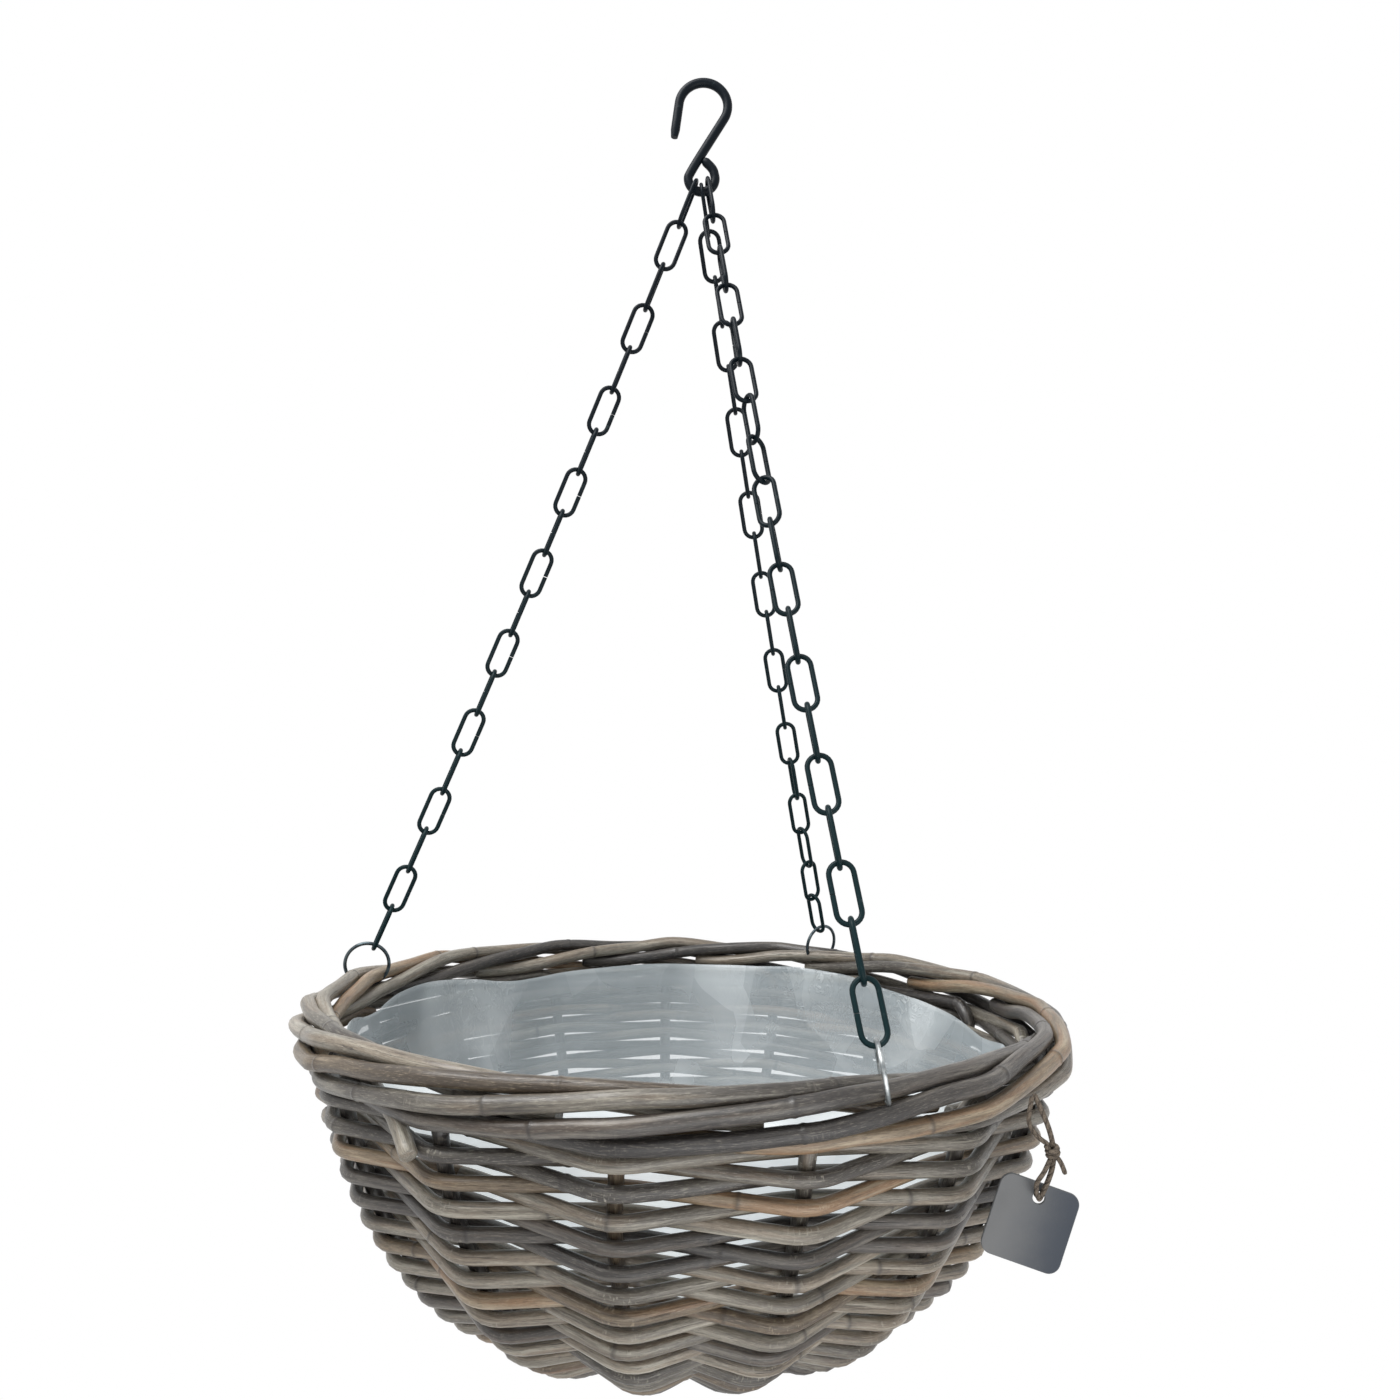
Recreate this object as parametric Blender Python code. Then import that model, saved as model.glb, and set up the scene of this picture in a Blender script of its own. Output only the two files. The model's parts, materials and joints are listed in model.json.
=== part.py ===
"""Hanging rattan basket: a woven bowl on three chains under one hook.

Lengths are in millimetres and are turned into metres where meshes and curves are made. World +Z is up.
The origin is the highest inner point of the hook's crown, where the hook bears on what it hangs from.
The basket's axis is world Z, and BASKET_Z is the height of the border's centre.
Angles round the basket are in degrees from +X towards +Y.
"""

import math

import bmesh
import bpy
import numpy as np
from mathutils import Matrix, Vector

MM = 0.001
GAP = 0.3

# Hook: one bent wire in the XZ plane
HOOK_WIRE = 5.0
CROWN_RADIUS = 13.3
EYE_RADIUS = 7.3
HOOK_HEIGHT = 61.0
CROWN_START, CROWN_END = 172.0, -30.0
HOOK_TIP = (-15.4, 30.0)
HOOK_WAIST = (-3.4, 15.8)
EYE_START, EYE_END = 170.0, 372.0
EYE_CLOSE = ((6.1, 12.9), (1.3, 17.4))
CROWN_STEPS = 9
EYE_STEPS = 10

# Chains and rings
CHAIN_LINKS = 19
LINK_PITCH = 24.0
LINK_WIRE = 2.4
LINK_WIDTH = 14.0
LINK_BITE = 0.35
LINK_BEND_STEP = 60.0
LINK_CORNERS = 4
CHAIN_SAG = 2.8
EYE_SPREAD = 3.1
RING_WIRE = 2.0
RING_RADIUS = 12.0
RING_STEPS = 18
RING_OFFSET = (0.0, 12.4)
CHAINS = (
    # name, angle round the basket, side of the eye, turn of the ring from the radial plane
    ("left", 165.0, -1, 20.0),
    ("back", 61.5, 0, 0.0),
    ("front", -65.0, 1, -12.0),
)

# Border: the stakes' own ends, bent over and wound round each other, six canes in any section
RIM_RADIUS = 185.2
BORDER_CANE = 6.5
BORDER_HALF_WIDTH = 8.1
BORDER_HALF_HEIGHT = 10.2
BORDER_DROP = 2.2
BORDER_STRANDS = 6
BORDER_STEP = 8.0
BORDER_START = -130.0
BORDER_FREE_END = 6.0

# Wall: stakes, and weaving canes that pass in front of one stake and behind the next
STAKES = 15
FIRST_STAKE = -97.5
STAKE_CANE = 6.4
STAKE_FOOT = 1.5
STAKE_TOP = 8.5
STAKE_BEND = 2.6
NECK = (-7.6, -13.6)
NECK_TURN = 0.5
WALL_STEPS = 8
WALL_SAMPLES = 400
WEAVER_CANE = 5.6
WEAVER_OFFSET = 6.9
WEAVERS = 16
FLAT_BELOW = 152.0
FLAT_HALF = 2.6
LOW_CANE = 5.25
ROUND_PITCH = 6.03
FIRST_ROUND = 11.4
JOINT_GAP = 0.03
START_SPREAD = 7
WALL_TOP = (186.2, -8.7)
WALL_FOOT = (56.0, -151.3)
WALL_POWER_R = 2.196
WALL_POWER_Z = 1.468

# Base and liner. The liner's top is above the wall's, inside the border
BASE_RADIUS = 55.5
BASE_THICKNESS = 12.0
BASE_FOOT_EDGE = 4.0
BASE_SIDE = (2.0, 3.0)
BASE_DOME_EDGE = 14.0
LINER_INSET = 17.1
LINER_THICKNESS = 0.8
LINER_TOP_ARC = -7.0
LINER_FOOT_MARGIN = 14.0
LINER_STEPS = 6
TURN_STEPS = 20

# Tag and its twine
TAG_SIDE = 34.0
TAG_THICKNESS = 1.2
TAG_CORNER = 5.0
TAG_HOLE = 2.5
TAG_HOLE_INSET = 6.0
TAG_TILT = 18.0
TAG_PLACE = (148.9, -131.5, -46.0)
TAG_CORNER_STEPS = 3
TAG_HOLE_SIDES = 12
TWINE_RADIUS = 1.1
TWINE_ROUTE = (
    (147.2, -130.5, -4.6),
    (149.0, -133.0, -9.4),
    (151.4, -134.6, -15.4),
    (153.2, -135.2, -21.6),
    (153.9, -135.3, -27.4),
    (153.4, -135.2, -32.8),
    (151.9, -134.9, -38.0),
    (150.0, -134.3, -42.8),
)
TWINE_THROUGH = (-1.6, 0.0, 4.0)

GREEN_BLACK = ("green_black_paint", (0.020, 0.035, 0.038), 0.45, 0.6)
ZINC = ("zinc_wire", (0.10, 0.12, 0.13), 0.4, 0.8)
GREY_CANE = ("grey_cane", (0.30, 0.26, 0.21), 0.75, 0.0)
FILM = ("clear_film", (0.55, 0.60, 0.62), 0.25, 0.0)
TAG_METAL = ("blue_grey_metal", (0.09, 0.10, 0.12), 0.4, 0.8)
TWINE = ("brown_twine", (0.10, 0.065, 0.05), 0.9, 0.0)

EYE_BOTTOM_Z = HOOK_WIRE / 2 - HOOK_HEIGHT


def clear_scene():
    """Remove every object of the file that is open."""
    for old in list(bpy.data.objects):
        bpy.data.objects.remove(old, do_unlink=True)


def material(finish):
    """One Principled material from a name, a colour, a roughness and a metallic value."""
    name, colour, roughness, metallic = finish
    made = bpy.data.materials.get(name)
    if made is None:
        made = bpy.data.materials.new(name)
        made.use_nodes = True
        shader = made.node_tree.nodes["Principled BSDF"]
        shader.inputs["Base Color"].default_value = (*colour, 1.0)
        shader.inputs["Roughness"].default_value = roughness
        shader.inputs["Metallic"].default_value = metallic
    return made


def link_object(name, data, finish):
    """A new object in the scene, with its material."""
    piece = bpy.data.objects.new(name, data)
    bpy.context.scene.collection.objects.link(piece)
    data.materials.append(material(finish))
    return piece


def wire(name, points, diameter, finish, closed=False, resolution=1):
    """A round bar along points: a curve with a bevel and filled ends, of 4 + 2 * resolution sides."""
    curve = bpy.data.curves.new(name, "CURVE")
    curve.dimensions = "3D"
    curve.bevel_depth = diameter / 2 * MM
    curve.bevel_resolution = resolution
    curve.use_fill_caps = not closed
    spline = curve.splines.new("POLY")
    spline.points.add(len(points) - 1)
    for target, point in zip(spline.points, points):
        target.co = (*(Vector(point) * MM), 1.0)
    spline.use_cyclic_u = closed
    return link_object(name, curve, finish)


def as_mesh(piece):
    """The same piece as a mesh with its ends closed, for cutting and joining."""
    graph = bpy.context.evaluated_depsgraph_get()
    mesh = bpy.data.meshes.new_from_object(piece.evaluated_get(graph))
    name, finish = piece.name, piece.data.materials[0]
    bpy.data.objects.remove(piece, do_unlink=True)
    shape = bmesh.new()
    shape.from_mesh(mesh)
    bmesh.ops.remove_doubles(shape, verts=shape.verts, dist=1e-6)
    bmesh.ops.recalc_face_normals(shape, faces=shape.faces)
    shape.to_mesh(mesh)
    shape.free()
    solid = bpy.data.objects.new(name, mesh)
    bpy.context.scene.collection.objects.link(solid)
    mesh.materials.clear()
    mesh.materials.append(finish)
    return solid


def boolean(piece, tool, operation):
    """A live Boolean on piece, with its tool hidden."""
    cut = piece.modifiers.new(operation.lower(), "BOOLEAN")
    cut.operation = operation
    cut.solver = "EXACT"
    cut.object = tool
    tool.hide_render = True
    tool.display_type = "WIRE"


def polar(radius, angle, height):
    """A point at a radius and an angle round the basket, at a height over the border's centre."""
    turn = math.radians(angle)
    return Vector((radius * math.cos(turn), radius * math.sin(turn), BASKET_Z + height))


def arc(centre, radius, start, end, steps):
    """Points (x, z) on an arc, from one angle to another."""
    angles = [math.radians(start + (end - start) * i / steps) for i in range(steps + 1)]
    return [(centre[0] + radius * math.cos(a), centre[1] + radius * math.sin(a)) for a in angles]


# The chains' slope follows from their length and the ring's place, and sets the basket's height
RING_CENTRE = (RIM_RADIUS + RING_OFFSET[0], RING_OFFSET[1])
APEX_Z = EYE_BOTTOM_Z + HOOK_WIRE / 2
SLOPE_REACH = CHAIN_LINKS * LINK_PITCH + RING_RADIUS - RING_WIRE / 2
BASKET_Z = APEX_Z - math.sqrt(SLOPE_REACH ** 2 - RING_CENTRE[0] ** 2) - RING_CENTRE[1]


def hook_points():
    """The hook's centre line: tip, crown, shank, then the eye closed against the shank."""
    crown_centre = (0.0, HOOK_HEIGHT - CROWN_RADIUS)
    eye_centre = (0.0, EYE_RADIUS)
    line = [HOOK_TIP]
    line += arc(crown_centre, CROWN_RADIUS, CROWN_START, CROWN_END, CROWN_STEPS)
    line += [HOOK_WAIST]
    line += arc(eye_centre, EYE_RADIUS, EYE_START, EYE_END, EYE_STEPS)
    line += list(EYE_CLOSE)
    return [(x, 0.0, z + EYE_BOTTOM_Z) for x, z in line]


def link_outline(inner_length):
    """One closed link in its own plane: X across, Z along, centred, in eight points."""
    bend = (LINK_WIDTH - LINK_WIRE) / 2
    straight = inner_length / 2 + LINK_WIRE / 2 - bend * math.sin(math.radians(LINK_BEND_STEP))
    outline = []
    for side in (1, -1):
        for step in range(LINK_CORNERS):
            turn = math.radians(LINK_BEND_STEP * step)
            outline.append(Vector((side * bend * math.cos(turn), 0.0,
                                   side * (straight + bend * math.sin(turn)))))
    return outline


def chain_ends(angle, side):
    """A chain's first point, on the eye, and its last, at the top of its ring's hole."""
    seat = EYE_RADIUS - HOOK_WIRE / 2 - LINK_WIRE / 2 - GAP
    rise = EYE_RADIUS - math.sqrt(seat ** 2 - (side * EYE_SPREAD) ** 2) - LINK_WIRE / 2
    start = Vector((side * EYE_SPREAD, 0.0, EYE_BOTTOM_Z + rise))
    centre = polar(RING_CENTRE[0], angle, RING_CENTRE[1])
    end = centre + (start - centre).normalized() * (RING_RADIUS - RING_WIRE / 2)
    return start, end, centre


def chain_frames(angle, side, ring_turn):
    """For each link of a chain: its centre, its long axis, the normal of its plane and its pitch."""
    start, end, _ = chain_ends(angle, side)
    along = (end - start).normalized()
    droop = Vector((0, 0, -1)) - along * along.dot(Vector((0, 0, -1)))
    droop.normalize()
    pins = []
    for index in range(CHAIN_LINKS + 1):
        part = index / CHAIN_LINKS
        pins.append(start.lerp(end, part) + droop * CHAIN_SAG * 4 * part * (1 - part))
    outward = Matrix.Rotation(math.radians(ring_turn), 3, -along) @ polar(1.0, angle, -BASKET_Z)
    first = Vector((1, 0, 0)) - along * along.x
    last = outward - along * along.dot(outward)
    if first.dot(last) < 0:
        last.negate()
    twist = math.atan2(along.dot(first.cross(last)), first.dot(last))
    frames = []
    for index in range(CHAIN_LINKS):
        axis = (pins[index + 1] - pins[index]).normalized()
        turn = twist * index / (CHAIN_LINKS - 1) + (math.pi / 2 if index % 2 else 0.0)
        normal = Matrix.Rotation(turn, 3, along) @ first.normalized()
        normal = (normal - axis * normal.dot(axis)).normalized()
        pitch = (pins[index + 1] - pins[index]).length
        frames.append(((pins[index] + pins[index + 1]) / 2, axis, normal, pitch))
    return frames


def link_points(frame, extra):
    """One link's centre line in the world. Its inner length is the chain's pitch plus twice extra."""
    centre, axis, normal, pitch = frame
    across = normal.cross(axis)
    return [centre + across * p.x + axis * p.z for p in link_outline(pitch + 2 * extra)]


def make_chain(name, angle, side, ring_turn):
    """A chain's top link, its run of links and its bottom link, and the ring at its foot."""
    frames = chain_frames(angle, side, ring_turn)
    free = GAP + LINK_BITE
    wire(f"{name}_chain_top_link", link_points(frames[0], free), LINK_WIRE, GREEN_BLACK, closed=True)
    run = []
    for index, frame in enumerate(frames[1:-1]):
        run.append(as_mesh(wire(f"{name}_link_{index}", link_points(frame, -LINK_BITE), LINK_WIRE,
                                GREEN_BLACK, closed=True)))
    odd, even = join(run[0::2], f"{name}_chain"), join(run[1::2], f"{name}_chain_tool")
    boolean(odd, even, "UNION")
    wire(f"{name}_chain_bottom_link", link_points(frames[-1], free), LINK_WIRE, GREEN_BLACK, closed=True)
    _, end, centre = chain_ends(angle, side)
    up = (end - centre).normalized()
    across = Matrix.Rotation(math.radians(ring_turn), 3, up) @ up.cross(polar(1.0, angle + 90.0, -BASKET_Z))
    turns = [math.radians(360.0 / RING_STEPS * i) for i in range(RING_STEPS)]
    ring = [centre + (up * math.cos(t) + across * math.sin(t)) * RING_RADIUS for t in turns]
    wire(f"{name}_ring", ring, RING_WIRE, ZINC, closed=True)


def join(pieces, name):
    """Several meshes as one object under one name."""
    shape = bmesh.new()
    for piece in pieces:
        shape.from_mesh(piece.data)
    mesh = bpy.data.meshes.new(name)
    shape.to_mesh(mesh)
    shape.free()
    finish = pieces[0].data.materials[0]
    for piece in pieces:
        bpy.data.objects.remove(piece, do_unlink=True)
    whole = bpy.data.objects.new(name, mesh)
    bpy.context.scene.collection.objects.link(whole)
    mesh.materials.append(finish)
    return whole


def wall_curve():
    """The weave's outer centre line down the wall, as radius, height and arc length from the top."""
    s = np.linspace(0.0, math.pi / 2, WALL_SAMPLES)
    radius = WALL_FOOT[0] + (WALL_TOP[0] - WALL_FOOT[0]) * np.clip(np.cos(s), 0, 1) ** (2 / WALL_POWER_R)
    height = WALL_TOP[1] - (WALL_TOP[1] - WALL_FOOT[1]) * np.sin(s) ** (2 / WALL_POWER_Z)
    length = np.concatenate([[0.0], np.cumsum(np.hypot(np.diff(radius), np.diff(height)))])
    return radius, height, length


WALL_R, WALL_Z, WALL_S = wall_curve()


def wall_point(distance, inset=0.0):
    """Radius and height on the wall at an arc length from its top, moved inwards by inset.

    A distance below zero is a point straight above the wall's top.
    """
    ends = [max(distance, 1.0) - 1.0, max(distance, 1.0) + 1.0]
    radii, heights = np.interp(ends, WALL_S, WALL_R), np.interp(ends, WALL_S, WALL_Z)
    slope = Vector((float(radii[1] - radii[0]), float(heights[1] - heights[0]))).normalized()
    radius = float(np.interp(distance, WALL_S, WALL_R)) + inset * slope.y
    height = float(np.interp(distance, WALL_S, WALL_Z)) - inset * slope.x
    return radius, height + max(-distance, 0.0)


def phase_shift(angle):
    """What is added to the canes' turn at an angle round the basket.

    At each ring it leaves a cane at the border's outer side, with a gap for the ring's wire beside it.
    """
    spacing = 360.0 / BORDER_STRANDS
    rate = STAKES / BORDER_STRANDS
    knots = []
    for _, ring_angle, _, _ in CHAINS:
        natural = rate * (ring_angle - FIRST_STAKE) + BORDER_START
        shift = -natural % spacing
        knots.append((ring_angle % 360.0, shift if shift < spacing / 4 else shift - spacing))
    knots.sort()
    places = [knots[-1][0] - 360.0] + [k[0] for k in knots] + [knots[0][0] + 360.0]
    shifts = [knots[-1][1]] + [k[1] for k in knots] + [knots[0][1]]
    return float(np.interp(angle % 360.0, places, shifts))


def border_point(stake_angle, onward):
    """A point of a stake's bent-over end, at an angle further round the basket than the stake."""
    angle = stake_angle + onward
    phase = math.radians(STAKES / BORDER_STRANDS * onward + BORDER_START + phase_shift(angle))
    radius = RIM_RADIUS + BORDER_HALF_WIDTH * math.cos(phase)
    return polar(radius, angle, BORDER_HALF_HEIGHT * math.sin(phase) - BORDER_DROP)


def make_stakes():
    """The stakes: each from the base up the wall, then over into one turn round the border."""
    foot = WALL_S[-1] - STAKE_FOOT
    turn_span = 360.0 / STAKES * BORDER_STRANDS
    spans = round((turn_span - BORDER_FREE_END - STAKE_BEND) / BORDER_STEP)
    for index in range(STAKES):
        angle = FIRST_STAKE + 360.0 / STAKES * index
        points = []
        for step in range(WALL_STEPS + 1):
            radius, height = wall_point(foot - (foot - STAKE_TOP) * step / WALL_STEPS, WEAVER_OFFSET)
            points.append(polar(radius, angle, height))
        points.append(polar(RIM_RADIUS + NECK[0], angle + NECK_TURN, NECK[1]))
        for step in range(spans + 1):
            onward = STAKE_BEND + (turn_span - BORDER_FREE_END - STAKE_BEND) * step / spans
            points.append(border_point(angle, onward))
        piece = wire(f"stake_{index + 1:02d}", points, BORDER_CANE, GREY_CANE)
        for point in piece.data.splines[0].points[:WALL_STEPS + 2]:
            point.radius = STAKE_CANE / BORDER_CANE


def weaver_start(index):
    """The stake pass, counted along the spiral, at which a weaving cane starts behind a stake."""
    shift = 5 * index % START_SPREAD - START_SPREAD // 2 if 0 < index < WEAVERS else 0
    return 2 * (STAKES * index + shift) - 1


def weave_points(step, at_end=False):
    """The weave's spiral at a stake pass: even passes in front of the stakes, odd ones behind.

    At a cane's end, and low on the wall where the stakes stand close, a pass is a short flat of two points.
    Elsewhere it is one corner.
    """
    distance = FIRST_ROUND + ROUND_PITCH * step / STAKES
    radius, height = wall_point(distance, 2 * WEAVER_OFFSET if step % 2 else 0.0)
    angle = FIRST_STAKE + 360.0 / STAKES * step
    if radius > FLAT_BELOW and not at_end:
        return [polar(radius, angle, height)]
    half = math.degrees(FLAT_HALF / radius)
    return [polar(radius, angle - half, height), polar(radius, angle + half, height)]


def make_weavers():
    """The weaving canes, end to end along one spiral down the wall. Their ends lie behind stakes."""
    for index in range(WEAVERS):
        first, last = weaver_start(index), weaver_start(index + 1)
        before, start = weave_points(first, at_end=True)
        end, after = weave_points(last, at_end=True)
        points = [before.lerp(start, 0.5 + JOINT_GAP), start]
        points += [point for step in range(first + 1, last) for point in weave_points(step)]
        points += [end, after.lerp(end, 0.5 + JOINT_GAP)]
        piece = wire(f"weaver_{index + 1:02d}", points, WEAVER_CANE, GREY_CANE)
        for point in piece.data.splines[0].points:
            if point.co.xy.length < FLAT_BELOW * MM:
                point.radius = LOW_CANE / WEAVER_CANE


def turned(name, outline, finish):
    """A closed outline of (radius, height) turned round the basket's axis."""
    shape = bmesh.new()
    ring = [shape.verts.new((r * MM, 0.0, (z + BASKET_Z) * MM)) for r, z in outline]
    edges = [shape.edges.new((a, b)) for a, b in zip(ring, ring[1:])]
    bmesh.ops.spin(shape, geom=ring + edges, cent=(0, 0, 0), axis=(0, 0, 1), angle=2 * math.pi,
                   steps=TURN_STEPS, use_merge=True)
    bmesh.ops.remove_doubles(shape, verts=shape.verts, dist=1e-6)
    bmesh.ops.recalc_face_normals(shape, faces=shape.faces)
    mesh = bpy.data.meshes.new(name)
    shape.to_mesh(mesh)
    shape.free()
    mesh.shade_smooth()
    return link_object(name, mesh, finish)


def make_base():
    """The base: a low disc of close weave, a little domed on its upper side."""
    foot = WALL_FOOT[1] - WEAVER_CANE / 2
    top = foot + BASE_THICKNESS
    outline = [(0.0, foot), (BASE_RADIUS - BASE_FOOT_EDGE, foot), (BASE_RADIUS, foot + BASE_FOOT_EDGE),
               (BASE_RADIUS - BASE_SIDE[0], top - BASE_SIDE[1]), (BASE_RADIUS - BASE_DOME_EDGE, top),
               (0.0, top)]
    return turned("base", outline, GREY_CANE)


def make_liner():
    """The film liner: a thin bowl inside the wall, open at the top, its lip inside the border's canes."""
    depth = WALL_S[-1] - LINER_FOOT_MARGIN - LINER_TOP_ARC
    steps = [LINER_TOP_ARC + depth * i / LINER_STEPS for i in range(LINER_STEPS + 1)]
    outer = [wall_point(d, LINER_INSET) for d in steps]
    inner = [wall_point(d, LINER_INSET + LINER_THICKNESS) for d in steps]
    outline = [(0.0, outer[-1][1])] + outer[::-1] + inner + [(0.0, inner[-1][1])]
    return turned("liner", outline, FILM)


def make_tag():
    """A square tag with round corners and one hole, hanging by a corner's edge on its twine."""
    hole_z = TAG_SIDE / 2 - TAG_HOLE_INSET
    half = TAG_SIDE / 2 - TAG_CORNER
    outline = []
    for corner, (sx, sz) in enumerate(((1, 1), (-1, 1), (-1, -1), (1, -1))):
        start = 90.0 * corner
        outline += arc((sx * half, sz * half - hole_z), TAG_CORNER, start, start + 90.0,
                       TAG_CORNER_STEPS)
    shape = bmesh.new()
    rim = [shape.verts.new((x * MM, -TAG_THICKNESS / 2 * MM, z * MM)) for x, z in outline]
    face = shape.faces.new(rim)
    grown = bmesh.ops.extrude_face_region(shape, geom=[face])
    moved = [v for v in grown["geom"] if isinstance(v, bmesh.types.BMVert)]
    bmesh.ops.translate(shape, verts=moved, vec=(0, TAG_THICKNESS * MM, 0))
    bmesh.ops.recalc_face_normals(shape, faces=shape.faces)
    mesh = bpy.data.meshes.new("tag")
    shape.to_mesh(mesh)
    shape.free()
    tag = link_object("tag", mesh, TAG_METAL)
    drill = bmesh.new()
    bmesh.ops.create_cone(drill, cap_ends=True, segments=TAG_HOLE_SIDES, radius1=TAG_HOLE * MM,
                          radius2=TAG_HOLE * MM, depth=TAG_THICKNESS * 4 * MM,
                          matrix=Matrix.Rotation(math.pi / 2, 4, "X"))
    hole = bpy.data.meshes.new("tag_hole")
    drill.to_mesh(hole)
    drill.free()
    cutter = link_object("tag_hole", hole, TAG_METAL)
    place = Vector(TAG_PLACE) * MM + Vector((0, 0, BASKET_Z * MM))
    for piece in (tag, cutter):
        piece.location = place
        piece.rotation_euler = (0.0, math.radians(TAG_TILT), 0.0)
    boolean(tag, cutter, "DIFFERENCE")


def make_twine():
    """The twine: from the border down in front of the tag, and back through its hole."""
    through = [(TAG_PLACE[0], TAG_PLACE[1] + y, TAG_PLACE[2]) for y in TWINE_THROUGH]
    route = [*TWINE_ROUTE, *through]
    points = [Vector(p) + Vector((0, 0, BASKET_Z)) for p in smooth(route, 2)]
    wire("tag_twine", points, TWINE_RADIUS * 2, TWINE, resolution=2)


def smooth(route, cuts):
    """Points on a smooth curve through a route's points, cuts to each stretch."""
    marks = [Vector(p) for p in route]
    marks = [marks[0] * 2 - marks[1], *marks, marks[-1] * 2 - marks[-2]]
    points = []
    for a, b, c, d in zip(marks, marks[1:], marks[2:], marks[3:]):
        for i in range(cuts):
            t = i / cuts
            points.append(0.5 * (2 * b + (c - a) * t + (2 * a - 5 * b + 4 * c - d) * t ** 2
                                 + (3 * b - a - 3 * c + d) * t ** 3))
    return points + [marks[-2]]


def hang(name, place, pieces):
    """An empty on a joint's axis, with the pieces that move with it as its children."""
    pivot = bpy.data.objects.new(name, None)
    bpy.context.scene.collection.objects.link(pivot)
    pivot.location = place
    for piece in pieces:
        piece.parent = pivot
        piece.matrix_parent_inverse = Matrix.Translation(-Vector(place))
    return pivot


def hang_everything():
    """Parent the basket under its hinge on the hook's eye, and the twine and tag under the twine's hinge."""
    free = [piece for piece in bpy.data.objects if piece.name != "hook" and piece.parent is None]
    twine = [piece for piece in free if piece.name.startswith("tag")]
    basket = [piece for piece in free if piece not in twine]
    basket_pivot = hang("basket_swing", (0.0, 0.0, EYE_BOTTOM_Z * MM), basket)
    top = Vector(TWINE_ROUTE[0]) + Vector((0, 0, BASKET_Z))
    twine_pivot = hang("twine_swing", top * MM, twine)
    twine_pivot.parent = basket_pivot
    twine_pivot.matrix_parent_inverse = Matrix.Translation((0, 0, -EYE_BOTTOM_Z * MM))


def main():
    """Build every piece of the basket."""
    clear_scene()
    wire("hook", hook_points(), HOOK_WIRE, GREEN_BLACK, resolution=2)
    for name, angle, side, ring_turn in CHAINS:
        make_chain(name, angle, side, ring_turn)
    make_stakes()
    make_weavers()
    make_base()
    make_liner()
    make_tag()
    make_twine()
    hang_everything()


main()
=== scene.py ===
"""The looks of the hanging rattan basket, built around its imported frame.

Lengths are in millimetres until a mesh is made. Angles round the basket are in degrees from +X towards +Y,
and heights on the basket are over its border's centre.
"""

import json
import logging
import math
from collections.abc import Sequence
from dataclasses import dataclass, field
from enum import Enum

import bpy
import numpy as np
from mathutils import Matrix, Vector


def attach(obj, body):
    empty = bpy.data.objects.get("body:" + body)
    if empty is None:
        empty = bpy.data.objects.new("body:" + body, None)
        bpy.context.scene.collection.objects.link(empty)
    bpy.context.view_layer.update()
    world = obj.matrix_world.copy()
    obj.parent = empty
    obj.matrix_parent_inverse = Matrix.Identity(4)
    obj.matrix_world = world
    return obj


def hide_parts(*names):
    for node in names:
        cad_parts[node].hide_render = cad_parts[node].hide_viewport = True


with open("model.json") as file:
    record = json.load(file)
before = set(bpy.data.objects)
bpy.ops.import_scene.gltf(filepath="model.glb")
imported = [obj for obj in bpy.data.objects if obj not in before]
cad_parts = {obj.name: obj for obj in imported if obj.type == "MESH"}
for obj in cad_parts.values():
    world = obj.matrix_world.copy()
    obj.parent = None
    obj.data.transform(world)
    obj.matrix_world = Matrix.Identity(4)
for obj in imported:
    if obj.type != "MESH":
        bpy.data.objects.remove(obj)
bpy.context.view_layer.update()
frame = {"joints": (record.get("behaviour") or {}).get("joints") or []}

MM = 0.001
LOG = logging.getLogger("basket")
Colour = tuple[float, float, float]
Plain = float | int | Sequence[float]


def joint_place(name: str) -> Vector:
    """The place of one of the frame's joints.

    Args:
        name: The joint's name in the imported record.

    Returns:
        The joint's position in millimetres.
    """
    found = next(joint for joint in frame["joints"] if joint["name"] == name)
    return Vector(found["pos_m"]) / MM


TWINE_DROP = 4.6
BASKET_Z = joint_place("twine_swing").z + TWINE_DROP
EYE_BOTTOM_Z = joint_place("basket_swing").z


class Body(Enum):
    """The CAD bodies that pieces ride on."""

    HOOK = "hook"
    BASKET = "basket"
    TWINE = "twine"
    TAG = "tag"


class Slot(Enum):
    """The record's material slots."""

    PAINT = "green_black_paint"
    ZINC = "zinc_wire"
    CANE = "grey_cane"
    FILM = "clear_film"
    TAG = "tag_metal"
    TWINE = "twine"


def paint(red: int, green: int, blue: int) -> Colour:
    """A linear colour from display values of 0 to 255.

    Args:
        red: The red value.
        green: The green value.
        blue: The blue value.

    Returns:
        The colour in linear light.
    """
    shares = [value / 255 for value in (red, green, blue)]
    return tuple(s / 12.92 if s <= 0.04045 else ((s + 0.055) / 1.055) ** 2.4 for s in shares)


def polar(radius: float, angle: float, height: float) -> Vector:
    """A point at a radius and an angle round the basket, at a height over the border's centre.

    Args:
        radius: The distance from the basket's axis.
        angle: The angle in degrees.
        height: The height over the border's centre.

    Returns:
        The point in millimetres.
    """
    turn = math.radians(angle)
    return Vector((radius * math.cos(turn), radius * math.sin(turn), BASKET_Z + height))


def arc(centre: tuple[float, float], radius: float, start: float, end: float,
        steps: int) -> list[tuple[float, float]]:
    """Points on an arc in a plane.

    Args:
        centre: The arc's centre.
        radius: The arc's radius.
        start: The first angle in degrees.
        end: The last angle in degrees.
        steps: How many stretches the arc has.

    Returns:
        The points, from start to end.
    """
    angles = [math.radians(start + (end - start) * i / steps) for i in range(steps + 1)]
    return [(centre[0] + radius * math.cos(a), centre[1] + radius * math.sin(a)) for a in angles]


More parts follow.
